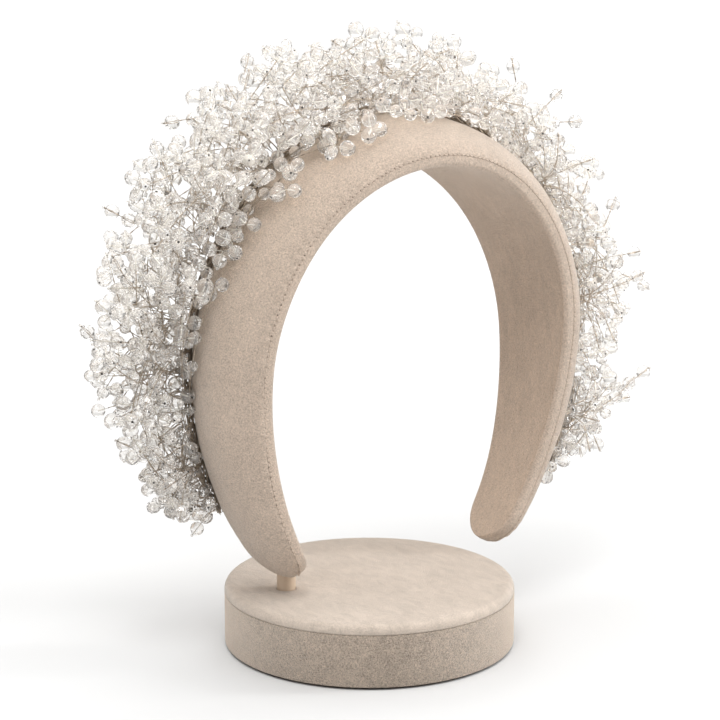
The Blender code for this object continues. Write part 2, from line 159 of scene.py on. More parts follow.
# Arc share, y of the foremost beads on the velvet, height kept free for a floret's beads
FLORET_EDGES = (
    (-1.00, 0.0230, 0.0095),
    (-0.62, 0.0210, 0.0095),
    (-0.54, 0.0010, 0.0095),
    (-0.45, -0.0090, 0.0090),
    (-0.38, -0.0110, 0.0110),
    (-0.28, -0.0190, 0.0120),
    (-0.10, -0.0225, 0.0110),
    (0.02, -0.0200, 0.0115),
    (0.12, -0.0130, 0.0160),
    (0.30, -0.0080, 0.0210),
    (0.55, -0.0060, 0.0260),
    (0.80, -0.0040, 0.0210),
    (1.00, -0.0040, 0.0180),
)
FLORET_TRIES = 9
FLORET_EDGE_GAP = 0.0040
FLORET_BACK_GAP = 0.0045
FLORET_LEAST_HEIGHT = 0.003
FLORET_OFF_PAD = 0.0030
STEM_OFF_PAD = 0.0008
LOW_FLORETS = 0.42
LOW_LEVEL = 0.14
SPRIG_RISE = (-0.001, 0.004)
CLUMPS_PER_METRE = 75.0
STEM_BEADS = (0.78, 0.58)
PETAL_TRIES = 6
PETAL_TILT = (45, 100)
PETAL_REACH = (1.05, 1.55)
PETAL_GAP = 0.0004
STEM_STEP = 0.0009
PETAL_WIRE_STEP = 0.0020
STRAND_TURNS = 15

# Materials of a spray, by the number that a face holds
GLASS, STEM, HOLE_SHADE, FINE_WIRE = range(4)

# Light, place, width, height, share of the key light's power
LIGHTS = (
    ("top_light", (-0.35, -0.45, 1.25), 0.42, 0.42, 2.5),
    ("left_light", (-0.95, 0.50, 0.50), 0.14, 0.80, 0.35),
    ("right_light", (1.00, -0.58, 0.45), 0.14, 0.80, 4.2),
)
LIGHTS_AIM = (0.016, 0.0, 0.11)

EVEN = (1.0, 1.0, 1.0)

class BandSettings(bpy.types.PropertyGroup):
    """Cloth of the padded band."""

    cover_colour: FloatVectorProperty(
        name="Cover", description="Suede of the padded outer face",
        default=(0.585, 0.474, 0.386), subtype="COLOR", size=3, min=0.0, max=1.0,
    )
    lining_colour: FloatVectorProperty(
        name="Lining", description="Suede of the inner face and its rolled edge",
        default=(0.530, 0.412, 0.320), subtype="COLOR", size=3, min=0.0, max=1.0,
    )
    puff_pressure: FloatProperty(
        name="Puff", description="Pressure that fills the cover in the cloth simulation",
        default=3.0, min=0.0,
    )
    puff_limit: FloatProperty(
        name="Puff limit", description="Most that the filled cover may move",
        default=0.0007, unit="LENGTH",
    )
    pucker_depth: FloatProperty(
        name="Pucker depth", description="Depth of the small gathers beside the seam",
        default=0.00022, unit="LENGTH",
    )
    pucker_pitch: FloatProperty(
        name="Pucker pitch", description="Distance between gathers along the seam",
        default=0.0036, unit="LENGTH",
    )
    unevenness: FloatProperty(
        name="Unevenness", description="Soft rise and fall of the padding",
        default=0.00030, unit="LENGTH",
    )
    stitch_length: FloatProperty(
        name="Stitch", description="Length of one stitch of the seam",
        default=0.0015, unit="LENGTH",
    )
    stitch_radius: FloatProperty(
        name="Thread radius", description="Radius of the seam's thread",
        default=0.00032, unit="LENGTH",
    )


class StandSettings(bpy.types.PropertyGroup):
    """Cloth, board and post of the stand."""

    cloth_colour: FloatVectorProperty(
        name="Cloth", description="Suede of the plinth",
        default=(0.535, 0.440, 0.358), subtype="COLOR", size=3, min=0.0, max=1.0,
    )
    # Painted light: the top cloth is the wall's suede painted lighter, for the light that falls on
    # it from above.
    top_colour_painted_light: FloatVectorProperty(
        name="Top cloth", description="Suede of the plinth's top, its nap combed up",
        default=(0.560, 0.478, 0.405), subtype="COLOR", size=3, min=0.0, max=1.0,
    )
    # Colour of the board core and sole. The sole's dark edge below the wall cloth is also a painted
    # shade line at the plinth's foot.
    board_and_foot_shade_colour: FloatVectorProperty(
        name="Board", description="Board drum and sole",
        default=(0.16, 0.12, 0.10), subtype="COLOR", size=3, min=0.0, max=1.0,
    )
    post_colour: FloatVectorProperty(
        name="Post", description="Paint of the post",
        default=(0.74, 0.585, 0.44), subtype="COLOR", size=3, min=0.0, max=1.0,
    )
    sides: IntProperty(
        name="Sides", description="Sides of the plinth's round pieces", default=144, min=24,
    )


class BeadSettings(bpy.types.PropertyGroup):
    """Beads, their stems and the vine."""

    largest: FloatProperty(
        name="Largest bead", description="Radius of the largest round beads",
        default=0.0031, unit="LENGTH",
    )
    smallest: FloatProperty(
        name="Smallest bead", description="Radius of the smallest faceted beads",
        default=0.0021, unit="LENGTH",
    )
    seed: FloatProperty(
        name="Seed bead", description="Radius of the stopper bead at the end of a wire",
        default=0.00068, unit="LENGTH",
    )
    oval_share: FloatProperty(
        name="Ovals", description="Share of the beads that are ovals",
        default=0.07, min=0.0, max=1.0, subtype="FACTOR",
    )
    cut_share: FloatProperty(
        name="Cut beads", description="Share of the beads with flat cut faces",
        default=0.5, min=0.0, max=1.0, subtype="FACTOR",
    )
    stopper_share: FloatProperty(
        name="Stoppers", description="Share of the petal beads that end in a stopper bead",
        default=0.28, min=0.0, max=1.0, subtype="FACTOR",
    )
    petals: IntProperty(
        name="Petals", description="Most beads round the end of a stem", default=7, min=1,
    )
    clumping: FloatProperty(
        name="Clumping", description="Pull of the stems towards clumps, with gaps between",
        default=0.0045, unit="LENGTH",
    )
    sprig_share: FloatProperty(
        name="Sprigs", description="Share of the stems that stand out of the rest",
        default=0.16, min=0.0, max=1.0, subtype="FACTOR",
    )
    stem_radius: FloatProperty(
        name="Stem radius", description="Radius of a twisted stem",
        default=0.00025, unit="LENGTH",
    )
    petal_wire_radius: FloatProperty(
        name="Petal wire", description="Radius of the thin wire that holds one bead",
        default=0.00016, unit="LENGTH",
    )
    milkiness: FloatProperty(
        name="Milkiness", description="Share of the crystal's light that is not clear",
        default=0.12, min=0.0, max=1.0, subtype="FACTOR",
    )
    strand_radius: FloatProperty(
        name="Strand radius", description="Radius of one strand of the vine",
        default=0.00042, unit="LENGTH",
    )
    strands: IntProperty(
        name="Strands", description="Strands round the vine's middle", default=6, min=3,
    )
    glass_index: FloatProperty(
        name="Refraction", description="Index of refraction of the crystal",
        default=1.60, min=1.0, max=2.5,
    )


class StageSettings(bpy.types.PropertyGroup):
    """Floor, lights and camera."""

    floor_size: FloatProperty(
        name="Floor", description="Side of the floor", default=60.0, unit="LENGTH",
    )
    floor_colour: FloatVectorProperty(
        name="Floor colour", description="Plain pale floor",
        default=(0.72, 0.72, 0.718), subtype="COLOR", size=3, min=0.0, max=1.0,
    )
    # Painted shade: the floor is painted darker beside the stand, by this share of its colour.
    floor_painted_shade: FloatProperty(
        name="Floor near", description="Floor colour beside the stand, as a share",
        default=0.86, min=0.0, max=1.0, subtype="FACTOR",
    )
    room_strength: FloatProperty(
        name="Room", description="Strength of the soft light all round", default=1.0, min=0.0,
    )
    key_power: FloatProperty(
        name="Key light", description="Power of the large soft light", default=1.6, unit="POWER",
    )
    camera_place: FloatVectorProperty(
        name="Camera", description="Place of the camera",
        default=(-0.4464, -0.6589, 0.2839), subtype="TRANSLATION", size=3,
    )
    camera_yaw: FloatProperty(
        name="Yaw", description="Turn of the camera away from +Y",
        default=0.591, subtype="ANGLE",
    )
    camera_pitch: FloatProperty(
        name="Pitch", description="How far the camera looks down",
        default=0.217, subtype="ANGLE",
    )
    camera_lens: FloatProperty(
        name="Lens", description="Focal length on a 36 mm sensor",
        default=110.3, subtype="DISTANCE_CAMERA",
    )


class Value:
    """A node's output. Sums, differences and products of it add Math nodes."""

    def __init__(self, paint, socket):
        self.paint = paint
        self.socket = socket

    def math(self, operation, first, second):
        return self.paint.node("ShaderNodeMath", {"operation": operation}, {0: first, 1: second})

    def __add__(self, other):
        return self.math("ADD", self, other)

    def __sub__(self, other):
        return self.math("SUBTRACT", self, other)

    def __mul__(self, other):
        return self.math("MULTIPLY", self, other)

    def __rsub__(self, other):
        return self.math("SUBTRACT", other, self)

    __radd__ = __add__
    __rmul__ = __mul__


class Paint:
    """A node tree that is filled by one method."""

    def __init__(self, owner):
        owner.use_nodes = True
        self.owner = owner
        self.tree = owner.node_tree
        self.tree.nodes.clear()

    def node(self, kind, settings=None, sockets=None, output=0):
        node = self.tree.nodes.new(kind)
        for key, setting in (settings or {}).items():
            if key == "stops":
                elements = node.color_ramp.elements
                while len(elements) < len(setting):
                    elements.new(1.0)
                for element, (place, shade) in zip(elements, setting):
                    element.position = place
                    element.color = shade
            else:
                setattr(node, key, setting)
        for key, value in (sockets or {}).items():
            if isinstance(value, Value):
                self.tree.links.new(value.socket, node.inputs[key])
            else:
                node.inputs[key].default_value = value
        return None if output is None else Value(self, node.outputs[output])

    def place(self, stretch=EVEN):
        """Object coordinates in metres, stretched on each axis."""
        spot = self.node("ShaderNodeTexCoord", output="Object")
        return self.node("ShaderNodeMapping", {"vector_type": "POINT"}, {0: spot, "Scale": stretch})

    def noise(self, spot, scale, detail, roughness, twist=0.0):
        return self.node("ShaderNodeTexNoise", {}, {
            "Vector": spot, "Scale": scale, "Detail": detail, "Roughness": roughness,
            "Distortion": twist,
        })

    def bump(self, strength, distance, height):
        sockets = {"Strength": strength, "Distance": distance, "Height": height}
        return self.node("ShaderNodeBump", {}, sockets)

    def ramp(self, value, *stops):
        """Value spread over grey stops (place, level)."""
        stops = [(place, (level, level, level, 1.0)) for place, level in stops]
        return self.node("ShaderNodeValToRGB", {"stops": stops}, {0: value})

    def mix(self, factor, first, second):
        settings = {"data_type": "RGBA", "blend_type": "MIX"}
        return self.node("ShaderNodeMix", settings, {0: factor, 6: first, 7: second}, output=2)

    def finish(self, shader, output="ShaderNodeOutputMaterial"):
        self.node(output, {}, {"Surface": shader}, output=None)
        return self.owner


def shade(colour, factor):
    """A colour made lighter or darker, as four numbers."""
    return tuple(min(part * factor, 1.0) for part in colour[:3]) + (1.0,)


def suede(name, colour, patch_size, depth, mottle=0.16, strokes=EVEN, rim=0.0):
    """Brushed suede: broad patches of nap, brush strokes and curled short fibres.

    Depth is the strength of the nap, mottle the strokes' share of the tone, strokes their
    stretch on each axis, and rim a painted sheen: how much lighter the colour is painted edge on.
    """
    paint = Paint(bpy.data.materials.new(name))
    spot = paint.place()
    broad = paint.noise(spot, 1.0 / patch_size, 3.0, 0.55)
    stroke = paint.noise(paint.place(strokes), 210.0, 4.0, 0.6, 0.8)
    curls = paint.noise(spot, 1900.0, 3.0, 0.6, 0.8)
    brushed = paint.ramp(broad * 0.35 + stroke * 0.65, (0.38, 0.0), (0.62, 1.0))
    grain = paint.ramp(curls, (0.36, 0.0), (0.64, 1.0))
    level = brushed * mottle + grain * (1.0 - mottle)
    tint = paint.mix(level, shade(colour, 1.0 - 0.5 * depth), shade(colour, 1.0 + 0.45 * depth))
    # Painted sheen: the colour is painted lighter where the surface is seen edge on.
    if rim:
        grazing = paint.node("ShaderNodeLayerWeight", {}, {"Blend": 0.5}, "Facing")
        painted_sheen = paint.ramp(grazing, (0.30, 0.0), (1.0, 1.0))
        tint = paint.mix(painted_sheen, tint, shade(colour, 1.0 + rim))
    shader = paint.node("ShaderNodeBsdfPrincipled", {}, {
        "Base Color": tint,
        "Roughness": 0.98 - level * 0.08,
        "Sheen Weight": 0.85,
        "Sheen Roughness": 0.30,
        "Sheen Tint": (1.0, 0.94, 0.87, 1.0),
        "Specular IOR Level": 0.1,
        "Normal": paint.bump(depth, 0.0014, curls * 0.8 + stroke * 0.2),
    })
    return paint.finish(shader)


def plain_finish(name, colour, tones, gloss, blotch, relief=None, metal=0.0):
    """Finish with blotches in its colour and roughness, and a fine relief.

    Blotch and relief hold the stretch, scale, detail and roughness of a noise, and the relief
    the strength and height of its bump too. Gloss is the least roughness and its spread.
    """
    paint = Paint(bpy.data.materials.new(name))
    stretch, *pattern = blotch
    patches = paint.noise(paint.place(stretch), *pattern)
    sockets = {
        "Base Color": paint.mix(patches, shade(colour, tones[0]), shade(colour, tones[1])),
        "Metallic": metal,
        "Roughness": gloss[0] + patches * gloss[1],
    }
    if relief:
        stretch, *pattern, strength, height = relief
        grain = paint.noise(paint.place(stretch), *pattern)
        sockets["Normal"] = paint.bump(strength, height, grain)
    return paint.finish(paint.node("ShaderNodeBsdfPrincipled", {}, sockets))


def board(name, colour):
    """Pressed board with short fibres."""
    fibres = ((1.0, 1.0, 5.0), 700.0, 3.0, 0.6)
    return plain_finish(name, colour, (0.7, 1.3), (0.75, 0.15), fibres, (*fibres, 0.2, 0.0002))


def satin_paint(name, colour):
    """Sprayed paint with a slight orange peel."""
    cloudy, peel = (EVEN, 120.0, 2.0, 0.5), (EVEN, 1400.0, 2.0, 0.5, 0.08, 0.0001)
    return plain_finish(name, colour, (0.93, 1.05), (0.45, 0.15), cloudy, peel)


def drawn_wire(name, colour, metal, roughness):
    """Silver plated wire with tarnish in patches and fine scratches."""
    tarnish, scratches = (EVEN, 420.0, 3.0, 0.6), (EVEN, 5200.0, 2.0, 0.6, 0.1, 0.00005)
    return plain_finish(name, colour, (0.82, 1.08), (roughness, 0.15), tarnish, scratches, metal)


def hole_shade_finish(name, colour):
    """Rough inside of a bead's drilled hole, its near black colour a painted shade of the hole."""
    dust = (EVEN, 2600.0, 2.0, 0.5)
    return plain_finish(name, colour, (0.6, 1.5), (0.45, 0.3), dust)


def thread(name, colour):
    """Twisted sewing thread."""
    ply = ((1.0, 1.0, 0.4), 4200.0, 2.0, 0.6)
    return plain_finish(name, colour, (0.8, 1.05), (0.8, 0.1), ply, (*ply, 0.3, 0.0001))


def crystal(name, index, milkiness):
    """Crystal, a little milky, that lets the lamps' light through to the cloth."""
    paint = Paint(bpy.data.materials.new(name))
    cloud = paint.noise(paint.place(), 330.0, 2.0, 0.5)
    tint = paint.mix(cloud, (0.970, 0.948, 0.922, 1.0), (1.0, 0.984, 0.966, 1.0))
    glass = paint.node("ShaderNodeBsdfPrincipled", {}, {
        "Base Color": tint,
        "Roughness": 0.002 + cloud * 0.006,
        "IOR": index,
        "Transmission Weight": 1.0 - milkiness,
    })
    clear = paint.node("ShaderNodeBsdfTransparent", {}, {"Color": (0.85, 0.84, 0.82, 1.0)})
    to_lamp = paint.node("ShaderNodeLightPath", output="Is Shadow Ray")
    return paint.finish(paint.node("ShaderNodeMixShader", {}, {0: to_lamp, 1: glass, 2: clear}))


def smooth_table(rows, share):
    """Read a table at a share of its first column, along smooth curves without overshoot."""
    places = [row[0] for row in rows]
    share = min(max(share, places[0]), places[-1])
    last = len(rows) - 2
    index = max(k for k in range(last + 1) if places[k] <= share)
    span = places[index + 1] - places[index]
    t = (share - places[index]) / span
    values = []
    for column in range(1, len(rows[0])):
        steps = [
            (rows[k + 1][column] - rows[k][column]) / (places[k + 1] - places[k])
            for k in range(last + 1)
        ]

        def slope(k):
            if k == 0 or k > last:
                return 0.0 if k == 0 and places[0] == 0.0 else steps[min(k, last)]
            before, after = steps[k - 1], steps[k]
            if before * after <= 0.0:
                return 0.0
            return 2.0 * before * after / (before + after)

        start, end = rows[index][column], rows[index + 1][column]
        values.append(
            start * (2 * t**3 - 3 * t**2 + 1)
            + end * (3 * t**2 - 2 * t**3)
            + slope(index) * span * (t**3 - 2 * t**2 + t)
            + slope(index + 1) * span * (t**3 - t**2)
        )
    return values


def arch_curve():
    """Points of the right half of the inner face, top to tip, and their arc shares."""
    steps = 400
    upper = np.linspace(0.0, math.pi / 2, steps)
    lower = np.linspace(0.0, LEG_SWEEP, steps)[1:]
    x = ARCH_HALF_WIDTH * np.concatenate((np.sin(upper), np.cos(lower)))
    z = np.concatenate((ARCH_RISE * np.cos(upper), -LEG_DROP * np.sin(lower)))
    arc = np.concatenate(([0.0], np.cumsum(np.hypot(np.diff(x), np.diff(z)))))
    return x, z, arc / arc[-1], arc[-1]


ARCH_X, ARCH_Z, ARCH_SHARE, ARCH_LENGTH = arch_curve()


def arch_at(share):
    """Place and outward direction of the inner face at an arc share."""
    side = -1.0 if share < 0.0 else 1.0
    here = min(abs(share), 1.0)
    step = 0.004
    low, high = max(here - step, 0.0), min(here + step, 1.0)
    x, z = np.interp(here, ARCH_SHARE, ARCH_X), np.interp(here, ARCH_SHARE, ARCH_Z)
    along_x = np.interp(high, ARCH_SHARE, ARCH_X) - np.interp(low, ARCH_SHARE, ARCH_X)
    along_z = np.interp(high, ARCH_SHARE, ARCH_Z) - np.interp(low, ARCH_SHARE, ARCH_Z)
    if here < step:
        along_z = 0.0
    length = math.hypot(along_x, along_z)
    return side * float(x), float(z), -side * along_z / length, along_x / length


def band_point(share, y, height):
    x, z, out_x, out_z = arch_at(share)
    return Vector((x + out_x * height, y, z + out_z * height))


def band_size(share):
    """Front and back half widths and padded thickness, rounded off at the tips."""
    front_share, back_share, thickness_share = smooth_table(BAND_SECTIONS, share)
    tip_radius = BAND_WIDTH * BAND_SECTIONS[-1][1] / 2
    into_tip = (abs(share) - 1.0) * ARCH_LENGTH / tip_radius + 1.0
    rounding = math.sqrt(1.0 - min(max(into_tip, 0.0), 1.0) ** 2)
    thickness = PAD_THICKNESS * thickness_share * (0.45 + 0.55 * rounding)
    half = BAND_WIDTH / 2 * rounding
    return half * front_share, half * back_share, thickness


def band_shares(stations, tip_stations):
    """Arc shares of the band's sections, closer together round the tips."""
    tip_share = BAND_WIDTH * BAND_SECTIONS[-1][1] / 2 / ARCH_LENGTH
    half = [k / stations * (1.0 - tip_share) for k in range(stations + 1)]
    last_angle = math.radians(84)
    for k in range(1, tip_stations + 1):
        half.append(1.0 - tip_share * (1.0 - math.sin(last_angle * k / tip_stations)))
    return [-share for share in reversed(half[1:])] + half


def pad_height(share, y):
    """Height of the padded outer face above the inner face."""
    front, back, thickness = band_size(share)
    foot = LINING_THICKNESS + CLEARANCE
    across = min(abs(y) / (front if y < 0.0 else back), 1.0)
    return foot + (thickness - foot) * (1.0 - across**2) ** PAD_DOME


def cloud_at(share):
    """Bead height above the pad, front and back reach, vine's y, lowest share in front."""
    height, front, back, shift, drape = smooth_table(CLOUD_SECTIONS, share)
    reach = CLOUD_REACH
    return CLOUD_HEIGHT * height, reach * front, reach * back, VINE_SHIFT * shift, drape


def cloud_point(share, aside, above):
    """Point beside the vine's line, above the padding in front and level with it behind."""
    vine_y = cloud_at(share)[3]
    ground = pad_height(share, vine_y + min(aside, 0.0))
    return band_point(share, vine_y + aside, ground + above)


def band_matrix():
    """Turn of the headband, and the place that sets its left tip on the post."""
    turn = Matrix.Rotation(BAND_ROLL, 4, "Y") @ Matrix.Rotation(-BAND_LEAN, 4, "X")
    tip = turn @ band_point(-1.0, 0.0, LINING_THICKNESS)
    seat_x = POST_PLACE[0] + TIP_BESIDE_POST
    seat = Vector((seat_x, POST_PLACE[1], PLINTH_HEIGHT + POST_SHOWN))
    return Matrix.Translation(seat - tip) @ turn


BAND_PLACE = band_matrix()


def only(piece):
    """Make a piece the active object and the only one that is selected."""
    if bpy.context.object and bpy.context.object.mode != "OBJECT":
        bpy.ops.object.mode_set(mode="OBJECT")
    bpy.ops.object.select_all(action="DESELECT")
    piece.select_set(True)
    bpy.context.view_layer.objects.active = piece


def pick(piece, kind, test):
    """Go into edit mode with the vertices, edges or faces whose middle passes a test."""
    only(piece)
    mesh = piece.data
    for group in (mesh.vertices, mesh.edges, mesh.polygons):
        group.foreach_set("select", [False] * len(group))
    for item in getattr(mesh, {"VERT": "vertices", "EDGE": "edges", "FACE": "polygons"}[kind]):
        if kind == "VERT":
            middle = item.co
        elif kind == "FACE":
            middle = item.center
        else:
            first, second = (mesh.vertices[k].co for k in item.vertices)
            if abs(first.z - second.z) > 1e-6:
                continue
            middle = (first + second) / 2
        item.select = test(middle)
    bpy.ops.object.mode_set(mode="EDIT")
    bpy.ops.mesh.select_mode(type=kind)


def apply_modifier(piece, kind, settings):
    """Add a modifier with settings and apply it."""
    only(piece)
    modifier = piece.modifiers.new(kind.lower(), kind)
    for key, setting in settings.items():
        setattr(modifier, key, setting)
    bpy.ops.object.modifier_apply(modifier=modifier.name)


def join(piece, other, operation):
    """Cut another piece out of this one, or fuse the two; the other is removed."""
    settings = {"operation": operation, "solver": "EXACT", "object": other}
    apply_modifier(piece, "BOOLEAN", settings)
    bpy.data.objects.remove(other)


def soften(piece, width, segments):
    """Round the sharp edges of a piece."""
    apply_modifier(piece, "BEVEL", {
        "width": width, "segments": segments, "limit_method": "ANGLE",
        "angle_limit": math.radians(60),
    })


def cylinder(sides, radius, depth, place=(0.0, 0.0, 0.0), turn=(0.0, 0.0, 0.0), ends="NGON"):
    """Cylinder primitive, the active piece and the only one that is selected."""
    bpy.ops.object.select_all(action="DESELECT")
    bpy.ops.mesh.primitive_cylinder_add(
        vertices=sides, radius=radius, depth=depth, location=place, rotation=turn,
        end_fill_type=ends,
    )
    return bpy.context.object


def put_in_mesh(piece):
    """Put the piece's place, turn and scale into its mesh."""
    only(piece)
    bpy.ops.object.transform_apply(location=True, rotation=True, scale=True)


def close_up(piece):
    """Merge doubles, fill open ends and turn all faces outwards."""
    only(piece)
    bpy.ops.object.mode_set(mode="EDIT")
    bpy.ops.mesh.select_all(action="SELECT")
    bpy.ops.mesh.remove_doubles(threshold=1e-6)
    bpy.ops.mesh.fill_holes(sides=0)
    bpy.ops.mesh.normals_make_consistent(inside=False)
    bpy.ops.object.mode_set(mode="OBJECT")


def settle(piece, name, materials, slot, *nodes):
    """Put a finished piece's place into its mesh and hand it to the frame."""
    put_in_mesh(piece)
    piece.name = name
    piece.data.name = name
    for own in materials:
        if own.name not in piece.data.materials:
            piece.data.materials.append(own)
    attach(piece, "root")
    if nodes:
        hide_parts(*nodes)
    piece.select_set(False)
    return piece


def lofted(name, rings, inner=()):
    """Grid primitive laid onto closed rings; the columns named inner get the second finish."""
    columns, rows = len(rings[0]), len(rings) - 1
    bpy.ops.object.select_all(action="DESELECT")
    bpy.ops.mesh.primitive_grid_add(x_subdivisions=columns, y_subdivisions=rows, size=1.0)
    piece = bpy.context.object
    for polygon in piece.data.polygons:
        polygon.material_index = int((polygon.center.x + 0.5) * columns) in inner
    for vertex in piece.data.vertices:
        column = round((vertex.co.x + 0.5) * columns) % columns
        row = round((vertex.co.y + 0.5) * rows)
        vertex.co = rings[row][column]
    close_up(piece)
    piece.name = name
    return piece


def seam_height(thickness):
    """Height of the seam between cover and lining, lower where the band is thin."""
    return min(ROLLED_HEIGHT, thickness * ROLLED_SHARE_AT_TIPS)


def cover_ring(share, points=22, under=5):
    """Section of the cover: a full dome, tucked in at both edges, flat underneath."""
    front, back, thickness = band_size(share)
    foot = seam_height(thickness) + CLEARANCE * 0.2
    dome = thickness - foot
    first_angle = math.asin((SEAM_RISE / dome) ** (0.5 / PAD_DOME))
    tuck_back, tuck_front = min(SEAM_TUCK, back * 0.3), min(SEAM_TUCK, front * 0.3)
    section = [(back - tuck_back, foot), (back - tuck_back * 0.3, foot + SEAM_RISE * 0.35)]
    for k in range(points):
        angle = first_angle + (math.pi - 2 * first_angle) * k / (points - 1)
        across = math.cos(angle) * (back if math.cos(angle) > 0.0 else front)
        section.append((across, foot + dome * math.sin(angle) ** (2 * PAD_DOME)))
    section.append((tuck_front * 0.3 - front, foot + SEAM_RISE * 0.35))
    section.append((tuck_front - front, foot))
    for k in range(1, under + 1):
        share_across = k / (under + 1)
        reach = (tuck_front - front) * (1 - share_across) + (back - tuck_back) * share_across
        section.append((reach, foot))
    return [BAND_PLACE @ band_point(share, y, height) for y, height in section]


def lining_ring(share, under=7):
    """Section of the lining: a thin strip whose edges roll up to the seam."""
    front, back, thickness = band_size(share)
    high = seam_height(thickness)
    section = []
    for half, way in ((back, 1.0), (front, -1.0)):
        roll = min(ROLLED_RADIUS, half * 0.45, high * 0.5)
        inset = min(SEAM_TUCK, half * 0.3)
        side = [
            (half - inset, high),
            (half - inset * 0.35, high - SEAM_RISE * 0.2),
            (half, high - SEAM_RISE),
        ]
        for k in range(6):
            angle = math.radians(-18 * k)
            side.append((half - roll + roll * math.cos(angle), roll + roll * math.sin(angle)))
        section += [(way * y, height) for y, height in (side if way > 0.0 else side[::-1])]
        if way > 0.0:
            start, end = section[-1][0], min(ROLLED_RADIUS, front * 0.45, high * 0.5) - front
            for k in range(1, under + 1):
                section.append((start + (end - start) * k / (under + 1), 0.0))
    return [BAND_PLACE @ band_point(share, y, height) for y, height in section]


def rounded_spot(spot):
    """A point as three numbers that can be looked up."""
    return tuple(round(part, 6) for part in spot)


def puff(piece, held, pressure, limit):
    """Fill a cover with air in a cloth simulation, held at its seams, and cap its movement."""
    start = np.array([vertex.co for vertex in piece.data.vertices])
    group = piece.vertex_groups.new(name="held")
    group.add(held, 1.0, "REPLACE")
    only(piece)
    cloth = piece.modifiers.new("puff", "CLOTH")
    cloth.settings.vertex_group_mass = "held"
    cloth.settings.use_pressure = True
    cloth.settings.uniform_pressure_force = pressure
    cloth.settings.effector_weights.gravity = 0.0
    cloth.settings.mass = 0.1
    cloth.settings.quality = 4
    for number in range(1, PUFF_FRAMES + 1):
        bpy.context.scene.frame_set(number)
    bpy.ops.object.modifier_apply(modifier=cloth.name)
    end = np.array([vertex.co for vertex in piece.data.vertices])
    moved = end - start
    far = np.linalg.norm(moved, axis=1, keepdims=True)
    kept = start + moved * np.minimum(1.0, limit / np.maximum(far, 1e-9))
    piece.data.vertices.foreach_set("co", kept.ravel())
    piece.vertex_groups.clear()
    bpy.context.scene.frame_set(1)


def seam_line(share, way, height, inset):
    """Point of the seam between cover and lining on the front (-1) or back (+1) edge."""
    front, back, thickness = band_size(share)
    half = back if way > 0 else front
    return BAND_PLACE @ band_point(share, way * (half - inset), seam_height(thickness) + height)


def roughen(piece, settings):
    """Soft rise and fall of the padding, and gathers beside the seams."""
    mesh = piece.data
    shares = np.linspace(-1.0, 1.0, 700)
    edges = {
        way: np.array([seam_line(share, way, 0.0, 0.0) for share in shares]) for way in (-1, 1)
    }
    co = np.array([vertex.co for vertex in mesh.vertices])
    normals = np.array([vertex.normal for vertex in mesh.vertices])
    lift = np.zeros(len(co))
    for way, line in edges.items():
        for first in range(0, len(co), BLOCK):
            block = co[first:first + BLOCK]
            gaps = np.linalg.norm(block[:, None, :] - line[None, :, :], axis=2)
            nearest, gap = gaps.argmin(1), gaps.min(1)
            along = shares[nearest] * ARCH_LENGTH
            wave = np.sin(along * math.tau / settings.pucker_pitch + way)
            fade = np.exp(-((gap - GATHERS_FROM_SEAM) / GATHERS_SPREAD) ** 2)
            lift[first:first + BLOCK] += settings.pucker_depth * wave * fade
    for number, point in enumerate(co):
        soft = noise.noise(Vector(point) * 45.0) + 0.4 * noise.noise(Vector(point) * 150.0)
        lift[number] += settings.unevenness * soft
    mesh.vertices.foreach_set("co", (co + normals * lift[:, None]).ravel())
    mesh.update()


def smooth(piece, degrees=45):
    only(piece)
    bpy.ops.object.shade_smooth_by_angle(angle=math.radians(degrees))


def capsule(radius, length):
    """One stitch: a short round bar along X with rounded ends."""
    piece = cylinder(6, radius, length - radius, turn=(0.0, math.pi / 2, 0.0))
    put_in_mesh(piece)
    bpy.ops.object.mode_set(mode="EDIT")
    bpy.ops.mesh.select_mode(type="FACE")
    bpy.ops.object.mode_set(mode="OBJECT")
    for polygon in piece.data.polygons:
        polygon.select = abs(polygon.normal.x) > 0.9
    bpy.ops.object.mode_set(mode="EDIT")
    bpy.ops.mesh.extrude_faces_move(TRANSFORM_OT_shrink_fatten={"value": radius * 0.6})
    bpy.ops.mesh.select_all(action="DESELECT")
    bpy.ops.object.mode_set(mode="OBJECT")
    for polygon in piece.data.polygons:
        polygon.select = abs(polygon.normal.x) > 0.9
    bpy.ops.object.mode_set(mode="EDIT")
    bpy.ops.transform.resize(value=(1.0, 0.5, 0.5))
    bpy.ops.object.mode_set(mode="OBJECT")
    return piece


def taken_apart(piece):
    """Points and faces of a model shape as arrays; the shape is removed."""
    points = np.array([vertex.co for vertex in piece.data.vertices])
    faces = [tuple(polygon.vertices) for polygon in piece.data.polygons]
    mesh = piece.data
    bpy.data.objects.remove(piece)
    bpy.data.meshes.remove(mesh)
    return points, faces


class Pile:
    """Points and faces of many small shapes, gathered into one mesh."""

    def __init__(self):
        self.points = []
        self.faces = []
        self.finishes = []
        self.rounded = []
        self.count = 0

    def add(self, points, faces, finish=GLASS, rounded=True):
        """Add a shape; finish is one material number or a list with one for each face."""
        start = self.count
        self.points.append(np.asarray(points))
        self.faces += [tuple(start + k for k in face) for face in faces]
        self.finishes += [finish] * len(faces) if isinstance(finish, int) else finish
        self.rounded += [rounded] * len(faces)
        self.count += len(points)

    def piece(self, name, materials):
        mesh = bpy.data.meshes.new(name)
        mesh.from_pydata(np.concatenate(self.points).tolist(), [], self.faces)
        for material in materials:
            mesh.materials.append(material)
        mesh.polygons.foreach_set("material_index", self.finishes)
        mesh.polygons.foreach_set("use_smooth", self.rounded)
        piece = bpy.data.objects.new(name, mesh)
        bpy.context.scene.collection.objects.link(piece)
        return piece


def frame_along(direction, spin):
    """Turn whose Z goes along a direction, spun about it."""
    turn = Vector(direction).to_track_quat("Z", "Y").to_matrix()
    return np.array(turn @ Matrix.Rotation(spin, 3, "Z"))


